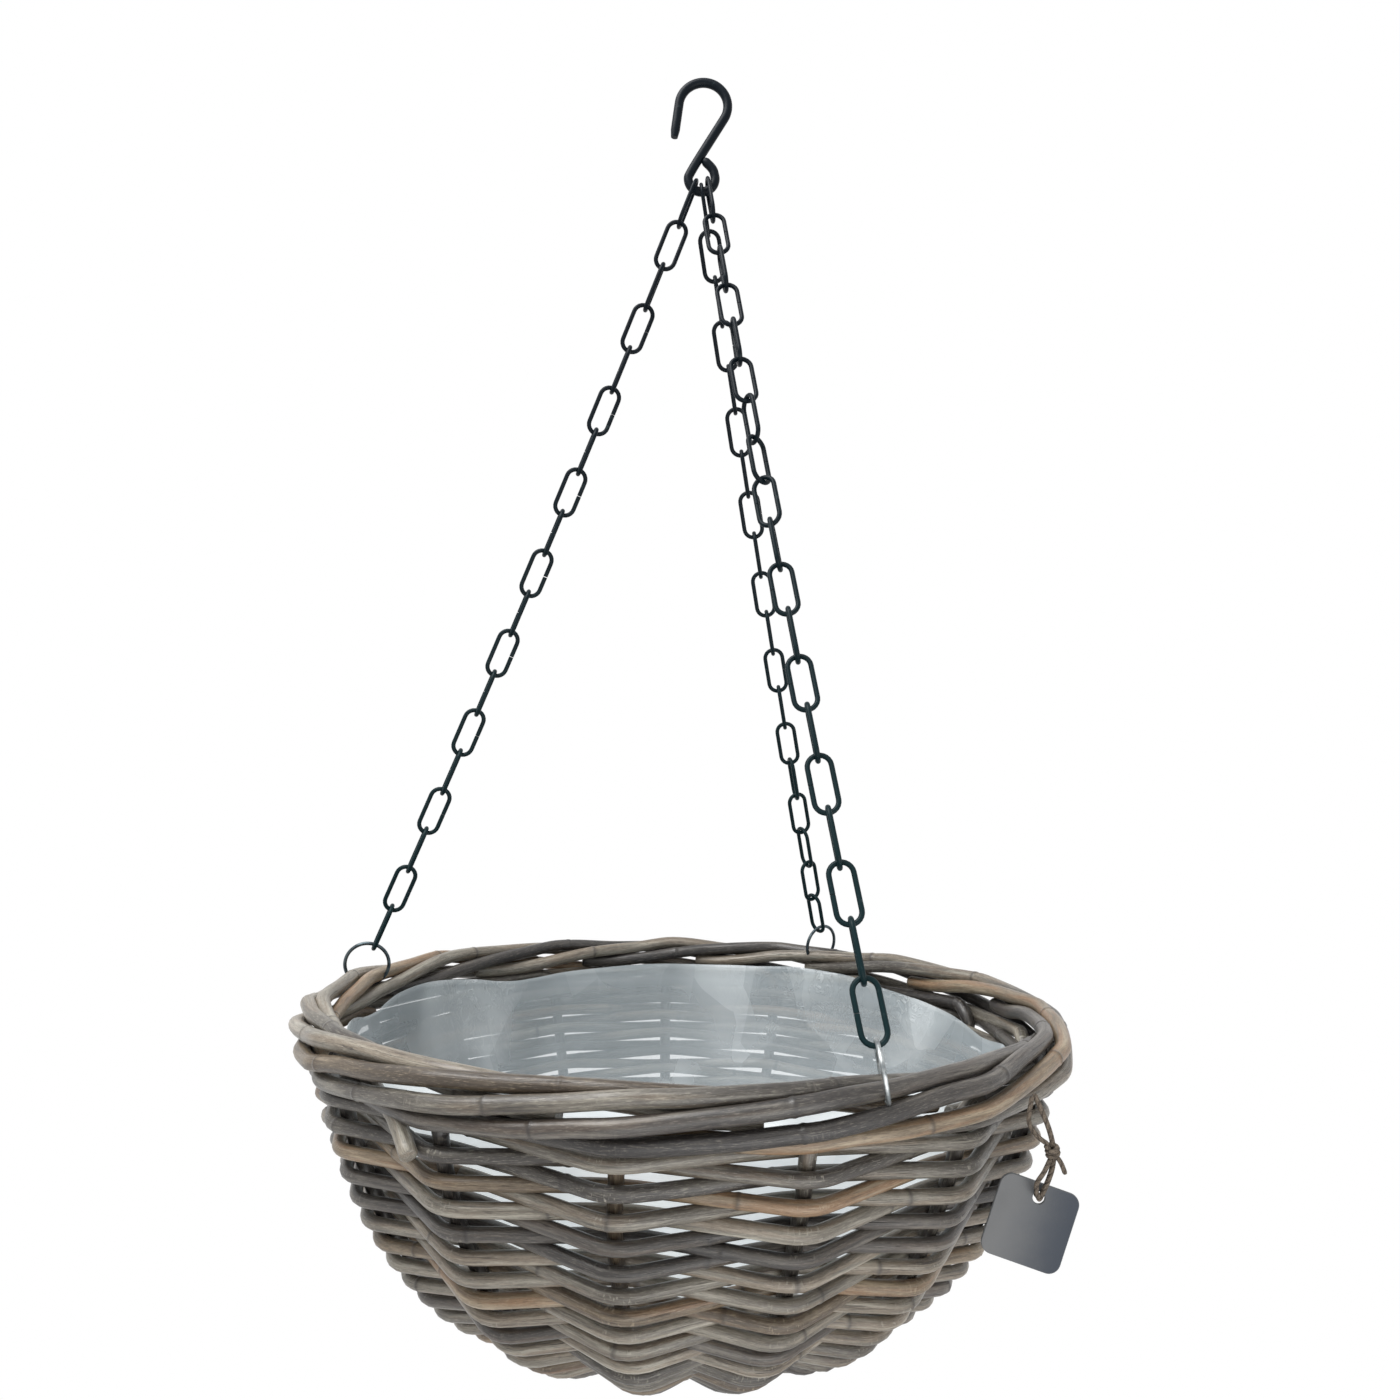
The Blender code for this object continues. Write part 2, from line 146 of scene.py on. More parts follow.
def rounded(line: np.ndarray, times: int) -> np.ndarray:
    """A line with its corners cut again and again, and its ends kept.

    Args:
        line: The points, one in a row.
        times: How often the corners are cut.

    Returns:
        The smoother line.
    """
    for _ in range(times):
        near, far = line[:-1] * 0.75 + line[1:] * 0.25, line[:-1] * 0.25 + line[1:] * 0.75
        middle = np.stack([near, far], axis=1).reshape(-1, 3)
        line = np.vstack([line[:1], middle[1:-1], line[-1:]])
    return line


def eased(share: float | np.ndarray) -> float | np.ndarray:
    """A share from 0 to 1 with soft ends."""
    return share * share * (3 - 2 * share)


def length_along(line: np.ndarray) -> np.ndarray:
    """The distance from a line's start to each of its points."""
    return np.concatenate([[0.0], np.cumsum(np.linalg.norm(np.diff(line, axis=0), axis=1))])


def drift(random: np.random.Generator, places: np.ndarray, step: float) -> np.ndarray:
    """A smooth random value from -1 to 1 at each place on a line.

    Args:
        random: The source of the draws.
        places: Distances along the line.
        step: The distance between two draws.

    Returns:
        One value for each place.
    """
    knots = random.uniform(-1.0, 1.0, int(places[-1] / step) + 3)
    at = places / step
    low = at.astype(int)
    part = eased(at - low)
    return knots[low] * (1 - part) + knots[low + 1] * part


def new_object(name: str, data: bpy.types.Mesh | bpy.types.Light | bpy.types.Camera) -> bpy.types.Object:
    """A new object in the scene.

    Args:
        name: The object's name.
        data: What it shows or holds.

    Returns:
        The object.
    """
    made = bpy.data.objects.new(name, data)
    bpy.context.scene.collection.objects.link(made)
    return made


class Value:
    """A number in a material, whose arithmetic adds Math nodes."""

    def __init__(self, finish: "Shader", socket: bpy.types.NodeSocket) -> None:
        """Wrap one output socket of a finish's tree."""
        self.finish = finish
        self.socket = socket

    def _math(self, operation: str, first: "Value | float", second: "Value | float" = 0.0) -> "Value":
        """A Math node on two values."""
        node = self.finish.node("ShaderNodeMath", {"operation": operation}, {0: first, 1: second})
        return Value(self.finish, node.outputs[0])

    def __add__(self, other: "Value | float") -> "Value":
        """Add."""
        return self._math("ADD", self, other)

    def __sub__(self, other: "Value | float") -> "Value":
        """Take away."""
        return self._math("SUBTRACT", self, other)

    def __mul__(self, other: "Value | float") -> "Value":
        """Multiply."""
        return self._math("MULTIPLY", self, other)

    def __radd__(self, other: float) -> "Value":
        """Add to a number."""
        return self._math("ADD", other, self)

    def __rsub__(self, other: float) -> "Value":
        """Take away from a number."""
        return self._math("SUBTRACT", other, self)

    def __rmul__(self, other: float) -> "Value":
        """Multiply a number."""
        return self._math("MULTIPLY", other, self)

    def size(self) -> "Value":
        """The value without its sign."""
        return self._math("ABSOLUTE", self)

    def wave(self, operation: str) -> "Value":
        """The value's sine or cosine, taken as an angle in radians."""
        return self._math(operation, self)

    def within(self, low: float, high: float) -> "Value":
        """How far the value has come from low to high, held to 0 to 1.

        Args:
            low: The value that gives 0.
            high: The value that gives 1.

        Returns:
            The share, with soft ends.
        """
        node = self.finish.node(
            "ShaderNodeMapRange", {"interpolation_type": "SMOOTHSTEP"},
            {"Value": self, "From Min": low, "From Max": high},
        )
        return Value(self.finish, node.outputs["Result"])


class NodeTree:
    """A tree of nodes, and the one method that adds nodes to it."""

    def __init__(self, tree: bpy.types.NodeTree) -> None:
        """Work on a tree."""
        self.tree = tree

    def node(self, kind: str, settings: dict | None = None, inputs: dict | None = None) -> bpy.types.Node:
        """Add a node.

        Args:
            kind: The node's type.
            settings: Its properties, which are set first.
            inputs: A value, a Value or a socket for each named or numbered input.

        Returns:
            The new node.
        """
        node = self.tree.nodes.new(kind)
        for key, setting in (settings or {}).items():
            setattr(node, key, setting)
        for key, given in (inputs or {}).items():
            self.feed(node.inputs[key], given)
        return node

    def feed(self, socket: bpy.types.NodeSocket, given: "Value | bpy.types.NodeSocket | Plain") -> None:
        """Link or set one input socket.

        Args:
            socket: The input.
            given: What it gets.
        """
        if isinstance(given, Value):
            self.tree.links.new(given.socket, socket)
        elif isinstance(given, bpy.types.NodeSocket):
            self.tree.links.new(given, socket)
        elif socket.type == "RGBA" and len(given) == 3:
            socket.default_value = (*given, 1.0)
        else:
            socket.default_value = given


class Shader(NodeTree):
    """One Principled material."""

    def __init__(self, name: str) -> None:
        """Start a material under a name.

        Args:
            name: The material's name.
        """
        self.material = bpy.data.materials.new(name)
        self.material.use_nodes = True
        super().__init__(self.material.node_tree)
        self.surface = self.tree.nodes["Principled BSDF"]

    def wear(self, **inputs: "Value | bpy.types.NodeSocket | Plain") -> bpy.types.Material:
        """Feed the surface and give back the material.

        Args:
            inputs: The surface's inputs, with an underscore for each space.

        Returns:
            The finished material.
        """
        for key, given in inputs.items():
            self.feed(self.surface.inputs[key.replace("_", " ")], given)
        return self.material

    def mark(self, name: str) -> Value:
        """A number that a mesh carries under a name."""
        return Value(self, self.node("ShaderNodeAttribute", {"attribute_name": name}).outputs["Fac"])

    def mark_parts(self, name: str) -> tuple[Value, Value, Value]:
        """A vector that a mesh carries under a name.

        Args:
            name: The mark's name.

        Returns:
            Its three numbers.
        """
        found = self.node("ShaderNodeAttribute", {"attribute_name": name}).outputs["Vector"]
        parts = self.node("ShaderNodeSeparateXYZ", None, {0: found})
        return tuple(Value(self, parts.outputs[i]) for i in range(3))

    def place(self) -> bpy.types.NodeSocket:
        """Object coordinates in metres."""
        return self.node("ShaderNodeTexCoord").outputs["Object"]

    def place_parts(self) -> tuple[Value, Value, Value]:
        """Object coordinates as three numbers."""
        parts = self.node("ShaderNodeSeparateXYZ", None, {0: self.place()})
        return tuple(Value(self, parts.outputs[i]) for i in range(3))

    def vector(self, x: Value | float, y: Value | float, z: Value | float) -> bpy.types.NodeSocket:
        """Three numbers as one vector."""
        return self.node("ShaderNodeCombineXYZ", None, {0: x, 1: y, 2: z}).outputs[0]

    def noise(self, where: bpy.types.NodeSocket, scale: float, detail: float = 3.0,
              roughness: float = 0.55, bent: float = 0.0) -> Value:
        """A noise pattern.

        Args:
            where: The coordinates it is read at.
            scale: How fine it is.
            detail: How many finer layers it has.
            roughness: How strong the finer layers are.
            bent: How much it is distorted.

        Returns:
            Its value, about 0.5 at the middle.
        """
        node = self.node("ShaderNodeTexNoise", None, {
            "Vector": where, "Scale": scale, "Detail": detail, "Roughness": roughness, "Distortion": bent,
        })
        return Value(self, node.outputs["Fac"])

    def cells(self, where: bpy.types.NodeSocket, scale: float) -> tuple[Value, Value]:
        """Cells with straight edges.

        Args:
            where: The coordinates they are read at.
            scale: How fine they are.

        Returns:
            One number for each cell from 0 to 1, and the distance from the cell's heart.
        """
        node = self.node("ShaderNodeTexVoronoi", None, {"Vector": where, "Scale": scale})
        parts = self.node("ShaderNodeSeparateColor", None, {0: node.outputs["Color"]})
        return Value(self, parts.outputs[0]), Value(self, node.outputs["Distance"])

    def mix(self, share: Value | float, first: "bpy.types.NodeSocket | Colour",
            second: "bpy.types.NodeSocket | Colour") -> bpy.types.NodeSocket:
        """A mixed colour.

        Args:
            share: How much of the second colour there is.
            first: The first colour.
            second: The second colour.

        Returns:
            The mixed colour's socket.
        """
        node = self.node("ShaderNodeMix", {"data_type": "RGBA"}, {0: share, 6: first, 7: second})
        return node.outputs[2]

    def bump(self, height: Value, depth: float, strength: float = 1.0) -> bpy.types.NodeSocket:
        """A normal from a height pattern.

        Args:
            height: The pattern, from 0 to 1.
            depth: The height of 1 in millimetres.
            strength: How much of it shows.

        Returns:
            The normal's socket.
        """
        node = self.node("ShaderNodeBump", None,
                         {"Strength": strength, "Distance": depth * MM, "Height": height})
        return node.outputs[0]


class BarPlace:
    """Where a point lies on a swept bar, read from the bar's marks along and around."""

    def __init__(self, shader: Shader) -> None:
        """Read the marks.

        Args:
            shader: The shader whose patterns follow the bar.
        """
        self.shader = shader
        self.along = shader.mark("along")
        self.side, self.up, _ = shader.mark_parts("around")

    def scaled(self, along: float, around: float) -> bpy.types.NodeSocket:
        """Coordinates for a pattern that follows the bar.

        Args:
            along: How fine the pattern is along the bar, in steps per metre.
            around: How fine it is round the bar, in steps per radius.

        Returns:
            The coordinates' socket.
        """
        return self.shader.vector(self.along * along, self.side * around, self.up * around)


@dataclass(frozen=True)
class CaneFinish:
    """Unpeeled rattan gone grey: streaked lengthwise, dark at its joints and cracked pale at its bends."""

    name: str
    pale: Colour
    middle: Colour
    dark: Colour
    warm: Colour
    warmth: float = 0.35
    roughness: float = 0.36

    def material(self) -> bpy.types.Material:
        """Make the material, which reads the marks along, around, tone, joint and bend.

        Returns:
            The cane's material.
        """
        shader = Shader(self.name)
        bar = BarPlace(shader)
        tone, joint, bend = shader.mark("tone"), shader.mark("joint"), shader.mark("bend")
        patch = bar.scaled(7.0, 0.35)
        blotch = shader.noise(patch, 1.0, 3.0)
        stain = shader.noise(patch, 2.6, 2.0)
        streak = shader.noise(bar.scaled(22.0, 1.1), 1.0, 5.0, 0.62)
        hair = shader.noise(bar.scaled(45.0, 7.0), 1.0, 4.0, 0.6)
        speck = shader.noise(bar.scaled(260.0, 9.0), 1.0, 4.0, 0.7)
        colour = shader.mix((tone * 0.8 + blotch * 0.9 - 0.35).within(0.05, 0.8), self.dark, self.middle)
        colour = shader.mix(streak.within(0.46, 0.70) * (tone * 0.85 + 0.15), colour, self.pale)
        warm_share = (stain + tone * 0.2).within(0.58, 0.76) * tone.within(0.05, 0.45)
        colour = shader.mix(warm_share * self.warmth, colour, self.warm)
        colour = shader.mix(speck.within(0.53, 0.66) * 0.4, colour, self.pale)
        colour = shader.mix(speck.within(0.47, 0.34) * 0.55, colour, self.dark)
        colour = shader.mix(streak.within(0.46, 0.30) * 0.7, colour, self.dark)
        split = shader.noise(bar.scaled(16.0, 3.2), 1.0, 2.0, 0.5, 0.6)
        crack = (split - 0.5).size().within(0.014, 0.002) * blotch.within(0.42, 0.62)
        colour = shader.mix(crack * 0.75, colour, self.dark)
        patch_share = shader.noise(patch, 3.1, 1.0).within(0.46, 0.60)
        tick_line = shader.noise(bar.scaled(900.0, 0.9), 1.0, 2.0, 0.5)
        tick = tick_line.within(0.56, 0.68) * bend * patch_share
        colour = shader.mix(tick * 0.6, colour, self.pale)
        colour = shader.mix(joint * 0.7, colour, self.dark)
        height = hair * 0.35 + streak * 0.4 + speck * 0.3 + tick * 0.5 - crack * 0.9
        return shader.wear(
            Base_Color=colour,
            Roughness=0.18 * hair + self.roughness - 0.09,
            Normal=shader.bump(height, 0.35, 0.8),
            Specular_IOR_Level=0.55,
        )


@dataclass(frozen=True)
class PaintFinish:
    """Dark green-black paint on wire: satin, a little uneven, and worn to grey in small spots."""

    name: str
    upper: Colour
    lower: Colour
    worn: Colour
    top_z: float
    foot_z: float

    def material(self) -> bpy.types.Material:
        """Make the material, greener towards the chains' feet.

        Returns:
            The painted wire's material.
        """
        shader = Shader(self.name)
        _, _, height = shader.place_parts()
        where = shader.place()
        grain = shader.noise(where, 900.0, 3.0)
        spots = shader.noise(where, 260.0, 4.0, 0.7)
        down = height.within(self.top_z * MM, self.foot_z * MM)
        colour = shader.mix(down, self.upper, self.lower)
        colour = shader.mix(spots.within(0.60, 0.72) * 0.55, colour, self.worn)
        return shader.wear(
            Base_Color=colour,
            Roughness=grain * 0.2 + 0.3,
            Normal=shader.bump(grain * 0.6 + spots * 0.6, 0.06, 0.5),
            Specular_IOR_Level=0.11,
        )


@dataclass(frozen=True)
class ZincFinish:
    """Dull zinc-plated wire, cloudy and a little stained."""

    name: str
    bright: Colour
    dull: Colour

    def material(self) -> bpy.types.Material:
        """Make the material.

        Returns:
            The zinc wire's material.
        """
        shader = Shader(self.name)
        cloud = shader.noise(shader.place(), 220.0, 4.0, 0.6)
        grain = shader.noise(shader.place(), 1400.0, 2.0)
        return shader.wear(
            Base_Color=shader.mix(cloud.within(0.35, 0.65), self.dull, self.bright),
            Metallic=cloud.within(0.30, 0.55) * 0.35 + 0.6,
            Roughness=cloud * 0.3 + 0.22,
            Normal=shader.bump(grain, 0.05, 0.6),
        )


@dataclass(frozen=True)
class FilmFinish:
    """Thin clouded film: smooth over the weave, and crinkled where the mesh's mark crinkle says. Its facets
    carry painted shading, its crinkle lines painted highlights, and its outer layer's near half a painted
    glow.
    """

    name: str
    tint: Colour
    pale_and_highlight: Colour
    painted_glow: Colour
    clear: float
    cloudy: float

    def material(self) -> bpy.types.Material:
        """Make the material, which lets the weave show through between its creases.

        Returns:
            The film's material.
        """
        shader = Shader(self.name)
        x, y, z = shader.place_parts()
        crinkle, outer, hem = shader.mark("crinkle"), shader.mark("outer"), shader.mark("hem")
        # Denser at the hem, and on the near half, where the outer layer wears its painted glow.
        dense = hem * 0.12 + outer * 0.25 + shader.mark("backed") * 0.3
        hung = shader.vector(x, y, z * 0.55)
        soft = shader.noise(hung, 15.0, 2.0, 0.4, 0.4)
        fine = shader.noise(hung, 120.0, 3.0, 0.6, 1.2)
        # The crinkle lines are painted highlights, which also raise the bump a little.
        line = (fine - 0.5).size().within(0.035, 0.004) * crinkle
        sway = shader.vector(x + soft * 0.03, y + soft * 0.03, z * 0.55 + soft * 0.02)
        # Cells with straight edges are the film's facets; their lighter and darker colour is painted
        # shading.
        large, large_slope = shader.cells(sway, 17.0)
        small, small_slope = shader.cells(sway, 41.0)
        facet = large * 0.6 + small * 0.4
        # Towards the pale colour with the soft pattern, and as painted light: shading on the facets,
        # highlights on the crinkle lines and the lit near half of the outer layer.
        bright = soft.within(0.44, 0.72) * 0.4 + (facet - 0.42) * 0.4 + line * 0.3 + outer * 0.6
        bright = bright.within(0.0, 1.0)
        return shader.wear(
            Base_Color=shader.mix(bright, self.tint, self.pale_and_highlight),
            Alpha=bright * (self.cloudy - self.clear) + self.clear + dense,
            # The outer layer's near half glows, though it is no lamp: painted light.
            Emission_Color=shader.mix(outer, (0.0, 0.0, 0.0), self.painted_glow),
            Emission_Strength=1.0,
            Roughness=facet * 0.15 + 0.2,
            Normal=shader.bump(large_slope * 0.6 + small_slope * 0.3 + line * 0.1, 6.0, 0.7),
            Specular_IOR_Level=0.5,
        )


@dataclass(frozen=True)
class TagFinish:
    """Blue-grey metal, lighter towards one side as painted sheen, and bare along its edges."""

    name: str
    base: Colour
    painted_sheen: Colour
    bare: Colour

    def material(self) -> bpy.types.Material:
        """Make the material.

        Returns:
            The tag's material.
        """
        shader = Shader(self.name)
        across = shader.mark("across")
        cloud = shader.noise(shader.place(), 70.0, 4.0, 0.6)
        grain = shader.noise(shader.place(), 600.0, 2.0, 0.6)
        # Lighter towards one side: a painted sheen.
        colour = shader.mix((across + cloud * 0.5 - 0.25).within(0.0, 0.9), self.base, self.painted_sheen)
        return shader.wear(
            Base_Color=shader.mix(shader.mark("edge") * 0.7, colour, self.bare),
            Metallic=0.3,
            Roughness=cloud * 0.25 + 0.35,
            Normal=shader.bump(grain, 0.05, 0.5),
        )


@dataclass(frozen=True)
class TwineFinish:
    """Grey-brown natural twine: two yarns laid round each other, and their fibres."""

    name: str
    shade: Colour
    light: Colour
    twist: float = 900.0

    def material(self) -> bpy.types.Material:
        """Make the material, whose yarns turn round the line.

        Returns:
            The twine's material.
        """
        shader = Shader(self.name)
        bar = BarPlace(shader)
        turn = bar.along * self.twist
        ply = (bar.side * turn.wave("COSINE") + bar.up * turn.wave("SINE")).size().within(0.0, 0.75)
        fibre = shader.noise(bar.scaled(1500.0, 4.0), 1.0, 3.0, 0.7)
        return shader.wear(
            # Darker in the groove between the two yarns: painted shade, over the fibres' own streaks.
            Base_Color=shader.mix(fibre.within(0.3, 0.7) * (ply * 0.7 + 0.3), self.shade, self.light),
            Roughness=0.9,
            Normal=shader.bump(ply * 0.8 + fibre * 0.2, 0.5, 1.0),
        )


@dataclass(frozen=True)
class FloorFinish:
    """A plain pale floor, seen as white by the camera where it is lit."""

    name: str
    colour: Colour

    def material(self) -> bpy.types.Material:
        """Make the material."""
        shader = Shader(self.name)
        return shader.wear(Base_Color=self.colour, Roughness=0.9, Specular_IOR_Level=0.1)


GREY_CANE = CaneFinish("grey_cane", paint(172, 167, 154), paint(119, 113, 102), paint(54, 50, 47),
                       paint(124, 100, 76), warmth=0.3)
DARK_CANE = CaneFinish("dark_cane", paint(134, 128, 118), paint(82, 77, 72), paint(37, 34, 33),
                       paint(96, 76, 58), warmth=0.25)
BROWN_CANE = CaneFinish("brown_cane", paint(172, 157, 134), paint(124, 108, 87), paint(62, 53, 44),
                        paint(136, 98, 64), warmth=0.5)
CHAIN_PAINT = PaintFinish("green_black_paint", paint(7, 15, 22), paint(13, 34, 37), paint(48, 60, 62),
                          top_z=-120.0, foot_z=-480.0)
ZINC = ZincFinish("zinc_wire", paint(86, 96, 100), paint(40, 50, 56))
# A lighter copy of the zinc, for the front ring: its glint is painted.
PAINTED_GLINT_ZINC = ZincFinish("zinc_wire_painted_glint", paint(196, 200, 200), paint(120, 126, 128))
FILM = FilmFinish("clear_film", paint(186, 195, 199), paint(234, 239, 241), paint(206, 211, 213),
                  clear=0.32, cloudy=0.60)
TAG_METAL = TagFinish("tag_metal", paint(31, 39, 50), paint(88, 89, 90), paint(110, 112, 114))
TWINE_FIBRE = TwineFinish("twine", paint(52, 44, 38), paint(122, 110, 96))
FLOOR = FloorFinish("pale_floor", (0.86, 0.86, 0.86))

PieceFinish = CaneFinish | PaintFinish | ZincFinish | FilmFinish | TagFinish | TwineFinish


@dataclass
class NodeGroup(NodeTree):
    """A Geometry Nodes tree that is built in this script, with named inputs."""

    name: str
    tree: bpy.types.GeometryNodeTree = field(init=False)
    sockets: dict[str, str] = field(init=False, default_factory=dict)
    start: bpy.types.Node = field(init=False)
    end: bpy.types.Node = field(init=False)

    def __post_init__(self) -> None:
        """Start the tree with a geometry input and output."""
        self.tree = bpy.data.node_groups.new(self.name, "GeometryNodeTree")
        self.tree.is_modifier = True
        self.add_input("Geometry", "NodeSocketGeometry")
        self.tree.interface.new_socket("Geometry", in_out="OUTPUT", socket_type="NodeSocketGeometry")
        self.start = self.tree.nodes.new("NodeGroupInput")
        self.end = self.tree.nodes.new("NodeGroupOutput")

    def add_input(self, name: str, kind: str) -> None:
        """Add a named input.

        Args:
            name: The input's name.
            kind: Its socket type.
        """
        made = self.tree.interface.new_socket(name, in_out="INPUT", socket_type=kind)
        self.sockets[name] = made.identifier

    def given(self, name: str) -> bpy.types.NodeSocket:
        """The tree's own side of a named input."""
        return next(s for s in self.start.outputs if s.identifier == self.sockets[name])

    def finish(self, geometry: bpy.types.NodeSocket) -> None:
        """End the tree: instances made real, shaded smooth but for the cut ends, and given the finish.

        Args:
            geometry: What the tree has made.
        """
        real = self.node("GeometryNodeRealizeInstances", None, {0: geometry})
        neighbours = self.node("GeometryNodeInputMeshFaceNeighbors").outputs[0]
        side = self.node("ShaderNodeMath", {"operation": "LESS_THAN"}, {0: neighbours, 1: 4.5})
        smooth = self.node("GeometryNodeSetShadeSmooth", None,
                           {"Geometry": real.outputs[0], "Selection": side.outputs[0]})
        dressed = self.node("GeometryNodeSetMaterial", None,
                            {"Geometry": smooth.outputs[0], "Material": self.given("Finish")})
        self.tree.links.new(dressed.outputs[0], self.end.inputs[0])

    def run(self, name: str, mesh: bpy.types.Mesh, **inputs: object) -> bpy.types.Object:
        """Run the tree on a mesh and keep the result as a plain mesh.

        Args:
            name: The new piece's name.
            mesh: The mesh that the tree starts from.
            inputs: The tree's inputs, with an underscore for each space.

        Returns:
            The piece, with no modifier left on it.
        """
        source = new_object(f"{name}_source", mesh)
        modifier = source.modifiers.new(self.name, "NODES")
        modifier.node_group = self.tree
        for key, value in inputs.items():
            modifier[self.sockets[key.replace("_", " ")]] = value
        graph = bpy.context.evaluated_depsgraph_get()
        result = bpy.data.meshes.new_from_object(source.evaluated_get(graph))
        bpy.data.objects.remove(source, do_unlink=True)
        result.name = name
        return new_object(name, result)


def bar_group() -> NodeGroup:
    """The tree that sweeps a round bar along an open or closed line of vertices.

    Returns:
        A tree that reads the mark girth, a radius in metres, and leaves the mark around on its skin.
    """
    group = NodeGroup("Round bar along a line")
    group.add_input("Sides", "NodeSocketInt")
    group.add_input("Finish", "NodeSocketMaterial")
    line = group.node("GeometryNodeMeshToCurve", None, {"Mesh": group.given("Geometry")})
    ring = group.node("GeometryNodeCurvePrimitiveCircle", {"mode": "RADIUS"},
                      {"Resolution": group.given("Sides"), "Radius": 1.0})
    place = group.node("GeometryNodeInputPosition")
    marked = group.node("GeometryNodeStoreNamedAttribute", {"data_type": "FLOAT_VECTOR", "domain": "POINT"},
                        {"Geometry": ring.outputs[0], "Name": "around", "Value": place.outputs[0]})
    girth = group.node("GeometryNodeInputNamedAttribute", {"data_type": "FLOAT"}, {"Name": "girth"})
    bar = group.node("GeometryNodeCurveToMesh", None, {
        "Curve": line.outputs[0], "Profile Curve": marked.outputs[0], "Scale": girth.outputs[0],
        "Fill Caps": True,
    })
    group.finish(bar.outputs[0])
    return group


def link_group() -> NodeGroup:
    """The tree that sets a bent link on each point of a chain, turned by the point's own mark.

    Returns:
        A tree that reads the mark turn, the link's rotation as three angles.
    """
    group = NodeGroup("Links of a chain")
    group.add_input("Outline", "NodeSocketObject")
    group.add_input("Wire Radius", "NodeSocketFloat")
    group.add_input("Sides", "NodeSocketInt")
    group.add_input("Finish", "NodeSocketMaterial")
    outline = group.node("GeometryNodeObjectInfo", None, {"Object": group.given("Outline")})
    line = group.node("GeometryNodeMeshToCurve", None, {"Mesh": outline.outputs["Geometry"]})
    ring = group.node("GeometryNodeCurvePrimitiveCircle", {"mode": "RADIUS"},
                      {"Resolution": group.given("Sides"), "Radius": group.given("Wire Radius")})
    link = group.node("GeometryNodeCurveToMesh", None,
                      {"Curve": line.outputs[0], "Profile Curve": ring.outputs[0], "Fill Caps": True})
    turn = group.node("GeometryNodeInputNamedAttribute", {"data_type": "FLOAT_VECTOR"}, {"Name": "turn"})
    turned = group.node("FunctionNodeEulerToRotation", None, {0: turn.outputs[0]})
    links = group.node("GeometryNodeInstanceOnPoints", None, {
        "Points": group.given("Geometry"), "Instance": link.outputs[0], "Rotation": turned.outputs[0],
    })
    group.finish(links.outputs[0])
    return group


def line_mesh(name: str, line: np.ndarray, closed: bool = False,
              **marks: np.ndarray) -> bpy.types.Mesh:
    """A mesh of one line of vertices and edges, with a number at each vertex for each mark.

    Args:
        name: The mesh's name.
        line: The points in millimetres.
        closed: Whether the line comes back to its start.
        marks: The numbers of each mark, one for each point.

    Returns:
        The mesh, in metres.
    """
    count = len(line)
    edges = [(i, i + 1) for i in range(count - 1)] + ([(count - 1, 0)] if closed else [])
    mesh = bpy.data.meshes.new(name)
    mesh.from_pydata((np.asarray(line) * MM).tolist(), edges, [])
    for key, numbers in marks.items():
        mark = mesh.attributes.new(key, "FLOAT", "POINT")
        mark.data.foreach_set("value", np.asarray(numbers, np.float32))
    return mesh


def dress(piece: bpy.types.Object, body: Body, slot: Slot, *nodes: str) -> bpy.types.Object:
    """Put a piece on its body and in place of its CAD nodes.

    Args:
        piece: The finished piece.
        body: The body it rides on.
        slot: The record's slot; not used.
        nodes: The CAD nodes that it stands for.

    Returns:
        The same piece.
    """
    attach(piece, body.value)
    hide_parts(*nodes)
    LOG.info("%s: %d faces, on %s", piece.name, len(piece.data.polygons), body.value)
    return piece


@dataclass
class Workshop:
    """The node trees and materials that all pieces share."""

    bar: NodeGroup = field(default_factory=bar_group)
    links: NodeGroup = field(default_factory=link_group)
    made: dict[str, bpy.types.Material] = field(default_factory=dict)

    def finish(self, wanted: PieceFinish) -> bpy.types.Material:
        """A finish's material, made once.

        Args:
            wanted: The finish.

        Returns:
            Its material.
        """
        if wanted.name not in self.made:
            self.made[wanted.name] = wanted.material()
        return self.made[wanted.name]

    def wire(self, name: str, line: np.ndarray, diameter: float, finish: bpy.types.Material,
             sides: int = 16, closed: bool = False) -> bpy.types.Object:
        """A plain round wire, with its cut ends a little broken.

        Args:
            name: The piece's name.
            line: Its centre line in millimetres.
            diameter: The wire's diameter.
            finish: Its material.
            sides: How many sides the wire has.
            closed: Whether the line comes back to its start.

        Returns:
            The piece.
        """
        girth = np.full(len(line), diameter / 2 * MM)
        if not closed:
            tip, tail = line[0] + (line[1] - line[0]) * 0.5, line[-1] + (line[-2] - line[-1]) * 0.5
            line = np.vstack([line[:1], [tip], line[1:-1], [tail], line[-1:]])
            girth = np.concatenate([[girth[0] * 0.75], girth, [girth[0] * 0.75]])
        places = length_along(line)
        mesh = line_mesh(name, line, closed, girth=girth, along=places * MM)
        return self.bar.run(name, mesh, Sides=sides, Finish=finish)


